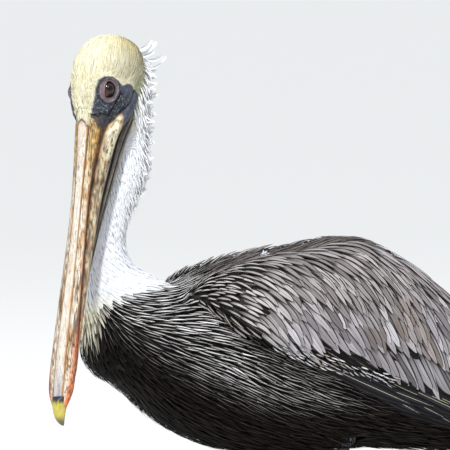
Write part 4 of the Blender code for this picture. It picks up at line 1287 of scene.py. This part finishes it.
NECK_LIE = (
    (0.000, -0.235, 0.440, 0.0, 0.05, -1.0),
    (0.020, -0.215, 0.400, 0.0, 0.0, -1.0),
    (0.000, -0.245, 0.300, 0.0, 0.0, -1.0),
    (0.025, -0.235, 0.320, 0.0, 0.05, -1.0),
    (0.000, -0.195, 0.330, 0.0, 0.1, -1.0),
    (0.000, -0.198, 0.290, 0.0, 0.35, -1.0),
    (0.026, -0.230, 0.275, 0.2, 0.35, -0.9),
    (0.000, -0.275, 0.250, 0.1, 0.05, -1.0),
    (0.036, -0.256, 0.246, 0.3, 0.5, -0.8),
    (0.043, -0.2405, 0.245, 0.3, 0.9, -0.35),
    (0.044, -0.2255, 0.248, 0.2, 0.95, -0.15),
    (0.040, -0.2087, 0.252, 0.1, 0.98, 0.05),
    (0.020, -0.187, 0.257, 0.05, 0.95, 0.25),
    (0.000, -0.180, 0.262, 0.0, 1.0, 0.15),
)
lie_on_neck = lie_of(NECK_LIE, 0.02)
face_white = white_share(face_middles)
on_neck = (on_head & (head_share <= 0.5) & ~face_bare) | (face_regions == "neck_lower")
on_neck |= (face_regions == "trunk") & (face_white > 0.5)
roots, faces = scatter(on_neck, 0.00105, 3.0, lie_on_neck, 21)
rng = np.random.default_rng(22)
long = smooth_step(-roots[:, 2], -0.30, -0.25)
length = (0.0105 + 0.008 * long) * (0.8 + 0.4 * rng.random(len(roots)))
path = follow(roots, faces, lie_on_neck, length, len(plush))
neck_coat = vanes("plumage_neck", path, faces, 0.0019 + 0.0006 * long, 0.0021, plush, fluffed,
                  markings(roots, face_regions[faces], 23), 24, bank=0.06)  # fmt: skip
dressed(neck_coat, soft_feather, "plumage_neck")


# ---- crest and nape ------------------------------------------------------------------------------
# A loose crest of long pointed white feathers stands out at the back of the crown, and below it the
# nape's feathers fluff out and end in a ragged fringe of upturned wisps.

CREST = (  # each lock's root, middle and tip as (back, up) in the head's frame, and its width
    ((0.0800, -0.0650), (0.0880, -0.0830), (0.0993, -0.0934), 0.0036),
    ((0.0775, -0.0690), (0.0862, -0.0880), (0.0992, -0.1005), 0.0038),
    ((0.0760, -0.0720), (0.0820, -0.0870), (0.0887, -0.0965), 0.0036),
    ((0.0740, -0.0750), (0.0780, -0.0960), (0.0890, -0.1125), 0.0040),
    ((0.0700, -0.0790), (0.0725, -0.1000), (0.0875, -0.1178), 0.0044),
    ((0.0650, -0.0820), (0.0665, -0.0950), (0.0722, -0.1048), 0.0040),
)
BLADES = 11  # feathers in a lock
CLUMPS, WISPS = 20, 8  # heights of the fringe's clumps, and feathers in a clump
blade = (0.75, 1.0, 0.96, 0.82, 0.66, 0.50, 0.35, 0.19, 0.02)


def arcs(first, middle, last, steps):
    """Paths along the parabola through three points each."""
    t = np.linspace(0, 1, steps)[None, :, None]
    bend = 2 * middle - (first + last) / 2
    places = first[:, None] * (1 - t) ** 2 + 2 * bend[:, None] * t * (1 - t) + last[:, None] * t**2
    return places, unit(np.gradient(places, axis=1))


rng = np.random.default_rng(26)
first, middle, last, width = [], [], [], []
for root, mid, tip, wide in CREST:
    for n in range(BLADES):
        side, spread = rng.normal(0, 0.0022), rng.normal(0, 0.0003, 2)
        share = 1 - 0.55 * rng.random() * (n > 6)
        root_at = np.array((side * 1.6, *(np.array(root) + rng.normal(0, 0.0008, 2))))
        mid_at = np.array((side, *(np.array(mid) + spread * 0.7)))
        tip_at = np.array((side * 0.35, *(np.array(tip) + spread * (n > 0))))
        first.append(root_at)
        middle.append(root_at + (mid_at - root_at) * share)
        last.append(root_at + (tip_at - root_at) * share)
        width.append(wide * (0.86 if n < 5 else 0.62))
first, middle, last = (moved(np.array(p), head_frame) for p in (first, middle, last))
width = np.array(width)

# The fringe: clumps of wisps down the nape that start downwards and then flick outwards.
faces_back = face_normals @ (0.06, 0.99, 0.0)
nape = on_head | (face_regions == "neck_lower")
nape &= (face_middles[:, 2] > 0.330) & (face_middles[:, 2] < 0.472) & (faces_back > 0.72)
nape &= face_heads[:, 2] < -0.062
starts, ends, bends = [], [], []
for n, height in enumerate(np.linspace(0.466, 0.338, CLUMPS)):
    near = np.flatnonzero(nape & (np.abs(face_middles[:, 2] - height) < 0.003))
    for face in rng.choice(near, 2):
        out = unit(face_normals[face] * (1, 1, 0))
        reach = (0.0140 - 0.0045 * n / (CLUMPS - 1)) * rng.uniform(0.8, 1.15)
        drop = np.array((0, 0, -0.0022 + rng.normal(0, 0.0008)))
        tip = face_middles[face] + out * reach * 0.9 + drop
        for _ in range(WISPS):
            root_at = face_middles[face] + rng.normal(0, 1, 3) * (0.0010, 0.0004, 0.0024) - out * 0.0012
            tip_at = tip + rng.normal(0, 0.0002, 3)
            starts.append(root_at)
            ends.append(tip_at)
            bends.append(root_at + (tip_at - root_at) * 0.5 + out * 0.0004 - np.array((0, 0, 0.0014)))
ways = ((first, starts), (middle, bends), (last, ends))
first, middle, last = (np.vstack([lock, np.array(wisp)]) for lock, wisp in ways)
width = np.r_[width, np.full(len(starts), 0.0026)]
places, gos = arcs(first, middle, last, len(blade))
faces = np.array([bed.find_nearest(p)[2] for p in first.tolist()])
roll = rng.normal(0.70, 0.06, (len(faces), 1, 1))
sideways = np.where(moved(first, to_head)[:, :1, None] < -0.001, -1.0, 1.0) * np.array((1.0, 0.0, 0.0))
normals = sideways * np.cos(roll) + np.array((0.0, 0.0, 1.0)) * np.sin(roll)
normals = unit(normals - (normals * gos).sum(-1, keepdims=True) * gos)
luck = rng.random(len(faces))
colours = dyed("EBEFF4", "FBFCFD", luck, 0.0), dyed("F8FAFC", "FFFFFF", luck, 0.5)
crest = vanes("plumage_crest", (places, normals, gos), faces, width, 0.0002, blade, np.ones(len(blade)),
              colours, 27, bank=0.0)  # fmt: skip
dressed(crest, soft_feather, "plumage_neck", "nape_crest")

# Fluff that fills the nape out to the roots of the fringe.
fluffy = np.isin(face_regions, ("head", "neck_upper", "neck_lower")) & (face_middles[:, 2] > 0.315)
fluffy &= (face_heads[:, 2] < -0.058) & (faces_back > 0.40)
roots, faces = scatter(fluffy, 0.0019, 2.2, lie_on_neck, 28)
rng = np.random.default_rng(29)
behind = smooth_step(faces_back[faces], 0.40, 0.90)
behind = behind * smooth_step(roots[:, 2], 0.315, 0.345) * smooth_step(-roots[:, 2], -0.490, -0.478)
path = follow(roots, faces, lie_on_neck, 0.0115 * (0.8 + 0.4 * rng.random(len(roots))), len(plush))
vane = dyed("E4E8ED", "F7F8FA", rng.random(len(roots)), 0.0)
streak = np.tile((*linear("FFFFFF"), 0.5), (len(roots), 1))
fluff = vanes("plumage_nape_fluff", path, faces, 0.0024, 0.0024 + 0.0046 * behind, plush, fluffed,
              (vane, streak), 30, bank=0.1)  # fmt: skip
dressed(fluff, soft_feather, "plumage_neck")


# ---- breast, flanks, belly and back --------------------------------------------------------------
# Firm narrow feathers, nearly black, each with a silver streak down its middle, so that the flanks
# look combed in lines. The streaks fade to brown below. They sweep back from the foot of the neck.

BODY_LIE = NECK_LIE[7:] + (
    (0.000, -0.268, 0.210, 0.1, 0.10, -1.0),
    (0.020, -0.266, 0.190, 0.2, 0.25, -0.9),
    (0.035, -0.259, 0.204, 0.25, 0.41, -0.88),
    (0.036, -0.256, 0.182, 0.2, 0.45, -0.85),
    (0.067, -0.217, 0.195, 0.2, 0.80, -0.50),
    (0.055, -0.193, 0.233, 0.1, 0.97, -0.05),
    (0.074, -0.188, 0.205, 0.2, 0.90, -0.30),
    (0.062, -0.215, 0.150, 0.2, 0.85, -0.50),
    (0.075, -0.168, 0.145, 0.1, 0.90, -0.42),
    (0.082, -0.119, 0.144, 0.0, 0.90, -0.42),
    (0.076, -0.065, 0.122, 0.0, 0.94, -0.34),
    (0.070, 0.000, 0.120, 0.0, 0.95, -0.30),
    (0.030, -0.180, 0.250, 0.1, 0.82, 0.45),
    (0.020, -0.165, 0.257, 0.1, 0.85, 0.45),
    (0.000, -0.150, 0.262, 0.0, 1.0, 0.20),
    (0.000, -0.060, 0.280, 0.0, 1.0, 0.05),
    (0.000, 0.060, 0.275, 0.0, 1.0, -0.25),
    (0.000, 0.160, 0.185, 0.0, 0.8, -0.6),
    (0.000, -0.240, 0.140, 0.1, 0.8, -0.6),
    (0.000, -0.100, 0.082, 0.0, 1.0, -0.05),
    (0.000, 0.050, 0.090, 0.0, 1.0, 0.0),
    (0.060, 0.100, 0.130, 0.0, 0.95, -0.3),
    (0.000, 0.180, 0.075, 0.0, 1.0, -0.1),
)
lie_on_body = lie_of(BODY_LIE)
lanceolate = (0.45, 0.85, 1.0, 1.0, 0.92, 0.74, 0.46, 0.04)
sleek = (-0.15, 0.30, 0.55, 0.72, 0.84, 0.93, 1.0, 1.02)


def under_wing(path):
    """Where paths have run on to the folded wing, which the body's feathers pass beneath."""
    places = path[0]
    region = region_of(places.reshape(-1, 3)).reshape(places.shape[:2])
    return np.maximum.accumulate(np.isin(region, ("wing", "flight")), axis=1)


on_body = (face_regions == "trunk") & (face_white <= 0.5)
roots, faces = scatter(on_body, 0.0024, 3.6, lie_on_body, 31)
rng = np.random.default_rng(32)
small = smooth_step(roots[:, 1], -0.27, -0.15)
length = (0.018 + 0.013 * small) * (0.8 + 0.4 * rng.random(len(roots)))
width = (0.0032 + 0.0008 * small) * (0.85 + 0.3 * rng.random(len(roots)))
path = follow(roots, faces, lie_on_body, length, len(lanceolate))
body_coat = vanes("plumage_body", path, faces, width, 0.0038, lanceolate, sleek,
                  markings(roots, face_regions[faces], 33), 34, bury=under_wing(path))  # fmt: skip
dressed(body_coat, streaked_feather, "plumage_body")

# A wisp of loose white down is caught on the back.
BARBS = 26
rng = np.random.default_rng(38)
down_at = bed.ray_cast(Vector((0.004, -0.0785, 0.40)), Vector((0, 0, -1)))
start = np.array(down_at[0]) + rng.normal(0, 0.0012, (BARBS, 3)) * (1, 1, 0) + np.array((0, 0, 0.0030))
away = unit(rng.normal(0, 1, (BARBS, 3)) * (1, 1, 0.4) + np.array((0, 0, 0.7)))
halfway = start + away * 0.0030 + np.array((0, 0, 0.0005))
places, gos = arcs(start, halfway, start + away * 0.0058, len(plush))
normals = unit(np.cross(gos, rng.normal(0, 1, (BARBS, 1, 3))))
vane = np.tile((*linear("F2F4F7"), 0.0), (BARBS, 1))
down = vanes("plumage_back_down", (places, normals, gos), np.full(BARBS, down_at[2]), 0.0011, 0.0002,
             plush, np.ones(len(plush)), (vane, vane + (0, 0, 0, 0.5)), 39, bank=0.0)  # fmt: skip
dressed(down, soft_feather, "plumage_body")

# The thigh's feathers are loose and hair-like, and hang over the top of the leg.
lie_on_thigh = lie_of(((0.05, -0.07, 0.10, 0.0, 0.15, -1.0), (0.05, -0.02, 0.10, 0.0, 0.30, -1.0)))
roots, faces = scatter(face_regions == "thigh", 0.0011, 3.0, lie_on_thigh, 35)
rng = np.random.default_rng(36)
length = 0.016 * (0.7 + 0.6 * rng.random(len(roots)))
path = follow(roots, faces, lie_on_thigh, length, len(plush), steady=0.8)
# A few feathers get bluish streaks: painted glints.
vane = dyed("17130F", "2C2622", rng.random(len(roots)), 0.0)
streak = dyed("2B2723", "6E7480", rng.random(len(roots)) ** 3, 0.5)
thigh_coat = vanes("plumage_thighs", path, faces, 0.0017, 0.0030, plush, fluffed, (vane, streak), 37,
                   bank=0.3)  # fmt: skip
dressed(thigh_coat, soft_feather, "plumage_body")


# ---- wings ---------------------------------------------------------------------------------------
# The folded wing is a shield of coverts: tiny and speckled at the wrist and along its lower edge,
# then longer row by row, silver grey with dark margins and shafts; the margins are partly their own
# dark edge and partly painted shade in the gaps between them. From under them run the nearly black
# flight feathers, to a point over the tail.

WING_LIE = (
    (0.060, -0.172, 0.240, 0.1, 0.9, -0.25),
    (0.069, -0.161, 0.243, 0.1, 0.9, -0.35),
    (0.082, -0.139, 0.244, 0.1, 0.85, -0.45),
    (0.070, -0.125, 0.262, 0.3, 0.75, -0.62),
    (0.040, -0.120, 0.272, 0.4, 0.65, -0.60),
    (0.061, -0.060, 0.280, 0.4, 0.62, -0.62),
    (0.030, -0.060, 0.288, 0.5, 0.72, -0.45),
    (0.091, -0.091, 0.243, 0.1, 0.58, -0.80),
    (0.100, -0.073, 0.214, 0.0, 0.50, -0.87),
    (0.089, -0.121, 0.209, 0.0, 0.85, -0.52),
    (0.080, -0.145, 0.215, 0.1, 0.82, -0.55),
    (0.091, -0.018, 0.241, 0.0, 0.50, -0.86),
    (0.084, 0.037, 0.239, 0.0, 0.50, -0.86),
    (0.058, 0.025, 0.278, 0.3, 0.60, -0.70),
    (0.030, 0.025, 0.285, 0.4, 0.70, -0.55),
    (0.085, 0.068, 0.189, 0.0, 0.44, -0.90),
    (0.090, 0.035, 0.165, 0.0, 0.48, -0.88),
    (0.065, 0.110, 0.220, 0.0, 0.52, -0.85),
    (0.030, 0.100, 0.255, 0.1, 0.75, -0.62),
    (0.055, 0.160, 0.150, -0.1, 0.68, -0.72),
    (0.025, 0.160, 0.190, 0.0, 0.75, -0.65),
    (0.030, 0.230, 0.110, -0.1, 0.80, -0.60),
    (0.025, 0.300, 0.050, -0.1, 0.85, -0.50),
    (0.094, -0.071, 0.188, 0.0, 0.80, -0.60),
    (0.092, -0.039, 0.172, 0.0, 0.75, -0.62),
    (0.080, 0.030, 0.145, 0.0, 0.70, -0.65),
    (0.060, 0.100, 0.115, 0.0, 0.80, -0.60),
)
lie_on_wing = lie_of(WING_LIE, 0.022)
covert = (0.50, 0.86, 1.0, 1.0, 1.0, 0.97, 0.88, 0.68, 0.14)
shingle = (-0.10, 0.28, 0.50, 0.66, 0.79, 0.89, 0.96, 1.02, 1.05)

# Where the tips of the long coverts end: (back, up) along the wing.
COVERT_TIPS = ((-0.095, 0.207), (-0.068, 0.199), (0.066, 0.178), (0.120, 0.150), (0.200, 0.105),
               (0.260, 0.080))  # fmt: skip
GREATER_TIPS = ((-0.078, 0.196), (-0.030, 0.184), (0.045, 0.147), (0.082, 0.141), (0.150, 0.112),
                (0.220, 0.080), (0.270, 0.062))  # fmt: skip


def side_roots(back, up):
    """Points of the skin, and their faces, straight in from both sides at (back, up)."""
    rows = []
    for side in (1, -1):
        for y, z in zip(back, up):
            hit = bed.ray_cast(Vector((side * 0.3, y, z)), Vector((-side, 0, 0)))
            rows.append((*hit[0], hit[2]) if hit[0] is not None else (0, 0, 0, -1))
    rows = np.array(rows)
    return rows[:, :3], rows[:, 3].astype(int), rows[:, 3] >= 0


above = face_middles[:, 2] - line_at(face_middles[:, 1], COVERT_TIPS)
wing_size = smooth_step(face_middles[:, 1], -0.178, -0.060)
slim = smooth_step(face_middles[:, 2], 0.248, 0.272) * smooth_step(-face_middles[:, 1], -0.14, -0.04)
wing_gap = 0.0021 + 0.0030 * wing_size
wing_gap = wing_gap * (1 - slim) + np.minimum(wing_gap, 0.0034) * slim
wanted = (face_regions == "wing") & ((above > 0.045) | (face_middles[:, 1] < -0.075))
wanted |= (face_regions == "wing") & (face_middles[:, 1] > 0.12)
roots, faces = scatter(wanted, wing_gap, 3.6, lie_on_wing, 41)
size, narrow = wing_size[faces], slim[faces]
late = smooth_step(roots[:, 1], 0.08, 0.20)
rng = np.random.default_rng(42)
length = (0.011 + 0.033 * size + 0.030 * late) * (0.85 + 0.3 * rng.random(len(roots)))
width = (0.0031 + 0.0060 * size * (1 - 0.6 * narrow) + 0.004 * late) * (0.85 + 0.3 * rng.random(len(roots)))
path = follow(roots, faces, lie_on_wing, length, len(covert))
coverts = vanes("plumage_lesser_coverts", path, faces, width, 0.0036 + 0.0012 * size, covert, shingle,
                markings(roots, face_regions[faces], 43), 44, columns=5, bank=0.16)  # fmt: skip
dressed(coverts, covert_feather, "plumage_wing")

# The long coverts lie in even rows. For each: how far its tips lie above their line, the line,
# length, width, the step from feather to feather, where it starts, and how dark it is.
ROWS = (
    (0.000, GREATER_TIPS, 0.060, 0.0105, 0.0076, -0.076, 0.30),
    (0.000, COVERT_TIPS, 0.056, 0.0098, 0.0074, -0.085, 0.05),
    (0.016, COVERT_TIPS, 0.050, 0.0090, 0.0068, -0.088, 0.0),
    (0.031, COVERT_TIPS, 0.044, 0.0080, 0.0060, -0.080, 0.0),
    (0.045, COVERT_TIPS, 0.038, 0.0070, 0.0053, -0.075, 0.0),
)
parts = []
for n, (rise, line, long, wide, step, start, dark) in enumerate(ROWS):
    back = np.arange(start, 0.262, step)
    rng = np.random.default_rng(60 + n)
    tip_up = line_at(back, line) + rise * np.interp(back, (0.10, 0.22), (1.0, 0.5))
    slope = np.radians(np.interp(back, (-0.09, -0.05, 0.08, 0.20), (50, 62, 64, 44)))
    grown = long * np.interp(back, (-0.09, -0.04, 0.10, 0.22), (0.62, 1.0, 1.0, 1.25))
    roots, faces, found = side_roots(back - np.cos(slope) * grown, tip_up + np.sin(slope) * grown)
    roots, faces = roots[found], faces[found]
    length = np.tile(grown, 2)[found] * (0.94 + 0.12 * rng.random(len(roots)))
    path = follow(roots, faces, lie_on_wing, length, len(covert) + 3, steady=0.5)
    vane, streak = markings(roots, np.full(len(roots), "wing"), 70 + n)
    vane[:, :3] = mix(vane[:, :3], "3B383A", np.full(len(roots), dark))
    streak[:, :3] = mix(streak[:, :3], "4A474A", np.full(len(roots), dark))
    parts.append((path, faces, wide * (0.9 + 0.2 * rng.random(len(roots))), vane, streak))
path = tuple(np.concatenate([p[0][k] for p in parts]) for k in range(3))
faces, width, vane, streak = (np.concatenate([p[k] for p in parts]) for k in (1, 2, 3, 4))
stretch = np.linspace(0, 1, len(covert) + 3)
even = np.linspace(0, 1, len(covert))
rows = vanes("plumage_covert_rows", path, faces, width, 0.0042, np.interp(stretch, even, covert),
             np.interp(stretch, even, shingle), (vane, streak), 75, columns=5, bank=0.20)  # fmt: skip
dressed(rows, covert_feather, "plumage_wing")

# Under them lie the dark bases of the flight feathers, and a patch of small black and white ones.
lie_below = lie_of(((0.09, -0.07, 0.18, 0.0, 0.86, -0.50), (0.05, 0.10, 0.12, 0.0, 0.84, -0.55),
                    (0.02, 0.28, 0.06, 0.0, 0.85, -0.52)))  # fmt: skip
below = face_regions == "flight"
roots, faces = scatter(below | ((face_regions == "wing") & (above < 0.050)), 0.0048, 4.0, lie_below, 81)
rng = np.random.default_rng(82)
path = follow(roots, faces, lie_below, 0.050 * (0.8 + 0.4 * rng.random(len(roots))), len(covert), steady=0.6)
vane = dyed("0A0808", "161312", rng.random(len(roots)), 0.10)
streak = dyed("121010", "2E2A29", rng.random(len(roots)), 0.4)
bases = vanes("plumage_flight_bases", path, faces, 0.0105, 0.0022, covert, shingle, (vane, streak), 83,
              columns=5, bank=0.15)  # fmt: skip
dressed(bases, flight_feather, "plumage_flight")

lie_of_patch = lie_of(((0.09, -0.07, 0.18, 0.0, 0.95, -0.25), (0.09, 0.0, 0.16, 0.0, 0.95, -0.30)))
patch = below & (above < -0.006) & (face_middles[:, 1] < 0.026)
roots, faces = scatter(patch, 0.0023, 2.6, lie_of_patch, 84)
rng = np.random.default_rng(85)
path = follow(roots, faces, lie_of_patch, 0.0095 * (0.8 + 0.4 * rng.random(len(roots))), len(lanceolate))
stain = (rng.random(len(roots)) > 0.75) * 0.6
vane = dyed("151211", "3A2A20", stain, 0.0)
streak = dyed(mix("C9C8CC", "F4F4F6", rng.random(len(roots))), "8E7458", stain, 0.46)
speckles = vanes("plumage_speckled_patch", path, faces, 0.0030, 0.0060, lanceolate, sleek, (vane, streak), 86,
                 columns=5)  # fmt: skip
dressed(speckles, streaked_feather, "plumage_wing")

# Flight feathers run straight from their roots to their tips. The ten primaries of each side stack
# along the lower edge and end beside the tail; the secondaries lie over them.
quill = (0.55, 0.9) + (1.0,) * 10 + (0.97, 0.90, 0.74, 0.48, 0.10)
flat = np.interp(np.linspace(0, 1, len(quill)), (0, 0.15, 0.6, 1), (0.1, 0.5, 0.9, 1.0))
FLIGHTS = (
    # name, count, first root, last root (back, up), first tip, last tip (side, back, up), width
    ("primaries", 10, (0.010, 0.142), (0.080, 0.136), (0.020, 0.316, 0.048), (0.046, 0.215, 0.078), 0.0135),
    ("secondaries", 17, (-0.060, 0.186), (0.165, 0.118), (0.088, 0.045, 0.133), (0.028, 0.262, 0.075),
     0.0135),
)  # fmt: skip
for name, count, first, last, near_tip, far_tip, wide in FLIGHTS:
    share = np.linspace(0, 1, count)
    roots, faces, _ = side_roots(*(first[k] + (last[k] - first[k]) * share for k in (0, 1)))
    tips = np.array(near_tip) + (np.array(far_tip) - np.array(near_tip)) * share[:, None]
    tips = np.vstack([tips, tips * (-1, 1, 1)])
    facing = np.array([(0.85, 0.05, 0.5)] * count + [(-0.85, 0.05, 0.5)] * count)
    rng = np.random.default_rng(52)
    path = reach_for(roots, faces, tips, facing, len(quill), 0.0012 if name == "primaries" else 0.0024)
    vane = dyed("0A090A", "151416", rng.random(len(roots)), 0.5)
    pale = dyed("17171B", "2E2F36", rng.random(len(roots)), 0.45)
    flights = vanes("plumage_" + name, path, faces, wide, 0.0014, quill, flat, (vane, pale), 53,
                    columns=5, bank=0.15)  # fmt: skip
    dressed(flights, flight_feather, "plumage_flight")


# ---- tail ----------------------------------------------------------------------------------------
# Twenty stiff dark feathers in a short blunt fan, arched a little like a roof.

TAIL_COUNT = 20
low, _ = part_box("tail")
share = np.linspace(-1, 1, TAIL_COUNT)
base = np.c_[share * 0.014, np.full(TAIL_COUNT, low.y - 0.006), 0.073 - 0.004 * np.abs(share)]
reach = 0.148 - 0.014 * share**2
tips = np.c_[share * 0.047, low.y + reach * 0.95, 0.0265 - 0.006 * share**2]
order = np.argsort(np.abs(share))[::-1]
base, tips, share = base[order], tips[order], share[order]
layers = np.linspace(0, 0.004, TAIL_COUNT)
base[:, 2] += layers
tips[:, 2] += layers
steps = len(quill)
along = np.linspace(0, 1, steps)[None, :, None]
places = base[:, None] * (1 - along) + tips[:, None] * along
normals = unit(np.stack([share * 0.3, np.full(TAIL_COUNT, 0.3), np.ones(TAIL_COUNT)], 1))
normals = np.repeat(normals[:, None], steps, 1)
path = (places, normals, unit(np.gradient(places, axis=1)))
faces = np.array([bed.find_nearest(p)[2] for p in base.tolist()])
rng = np.random.default_rng(91)
vane = dyed("141213", "2B292B", rng.random(TAIL_COUNT), 0.25)
pale = dyed("2F2F34", "56575E", rng.random(TAIL_COUNT), 0.5)
tail = vanes("plumage_tail", path, faces, 0.0145, 0.0006, quill, flat, (vane, pale), 92, columns=5, bank=0.0)
dressed(tail, flight_feather, "plumage_flight", "tail")


# ---- legs, feet and claws ------------------------------------------------------------------------
# Short stout legs and big feet, all four toes joined by webs, in dark slate skin with small net-like
# scales. The claws are black horn.

LEG_VOXEL = 0.0011
SOLE_DEPTH = 0.0008  # what lies lower than this is pressed flat on the floor
scaly, tree, shader = new_material("scaly_leg_skin")
spot = add(tree, "ShaderNodeTexCoord")
cells = add(tree, "ShaderNodeTexVoronoi", {"Vector": spot.outputs["Object"]},
            {"Scale": 420, "Randomness": 0.7}, feature="DISTANCE_TO_EDGE")  # fmt: skip
seams = add(tree, "ShaderNodeMapRange", {0: cells.outputs["Distance"]}, {1: 0.0, 2: 0.10, 3: 0.0, 4: 1.0})
worn = add(tree, "ShaderNodeTexNoise", {"Vector": spot.outputs["Object"]}, {"Scale": 60, "Detail": 5})
dark_slate, pale_slate = ((*linear(code), 1) for code in ("26272B", "4B4A4C"))
tone = add(tree, "ShaderNodeMix", {0: worn.outputs["Fac"]}, {6: dark_slate, 7: pale_slate},
           data_type="RGBA")  # fmt: skip
dull = add(tree, "ShaderNodeMix", {0: seams.outputs[0], 7: tone.outputs[2]}, {6: (*linear("15161A"), 1)},
           data_type="RGBA")  # fmt: skip
bump = add(tree, "ShaderNodeBump", {"Height": seams.outputs[0]}, {"Strength": 0.7, "Distance": 0.0004})
tree.links.new(dull.outputs[2], shader.inputs["Base Color"])
tree.links.new(bump.outputs["Normal"], shader.inputs["Normal"])
shader.inputs["Roughness"].default_value = 0.46

for side in ("left", "right"):
    nodes = ("tarsus_" + side, "foot_" + side)
    leg = remeshed(copy_of("leg_" + side, nodes), LEG_VOXEL, smoothing=3)
    co = points_of(leg)
    co[:, 2] = np.where(co[:, 2] < SOLE_DEPTH, 0.0, co[:, 2])
    set_points(leg, co)
    leg.data.shade_smooth()
    leg.data.materials.append(scaly)
    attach(leg, "root")
    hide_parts(*nodes)

claw_horn, tree, shader = new_material("black_claw_horn")
shader.inputs["Base Color"].default_value = (*linear("1B191A"), 1)
shader.inputs["Roughness"].default_value = 0.32
for side in ("left", "right"):
    nodes = [f"claw_{toe}_{side}" for toe in ("inner", "middle", "outer", "hind")]
    for node in nodes:
        claw = copy_of(node + "_horn", [node])
        pick(claw)
        step = claw.modifiers.new("Round", "SUBSURF")
        step.levels = step.render_levels = 2
        bpy.ops.object.modifier_apply(modifier=step.name)
        claw.data.shade_smooth()
        claw.data.materials.append(claw_horn)
        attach(claw, "root")
        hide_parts(node)
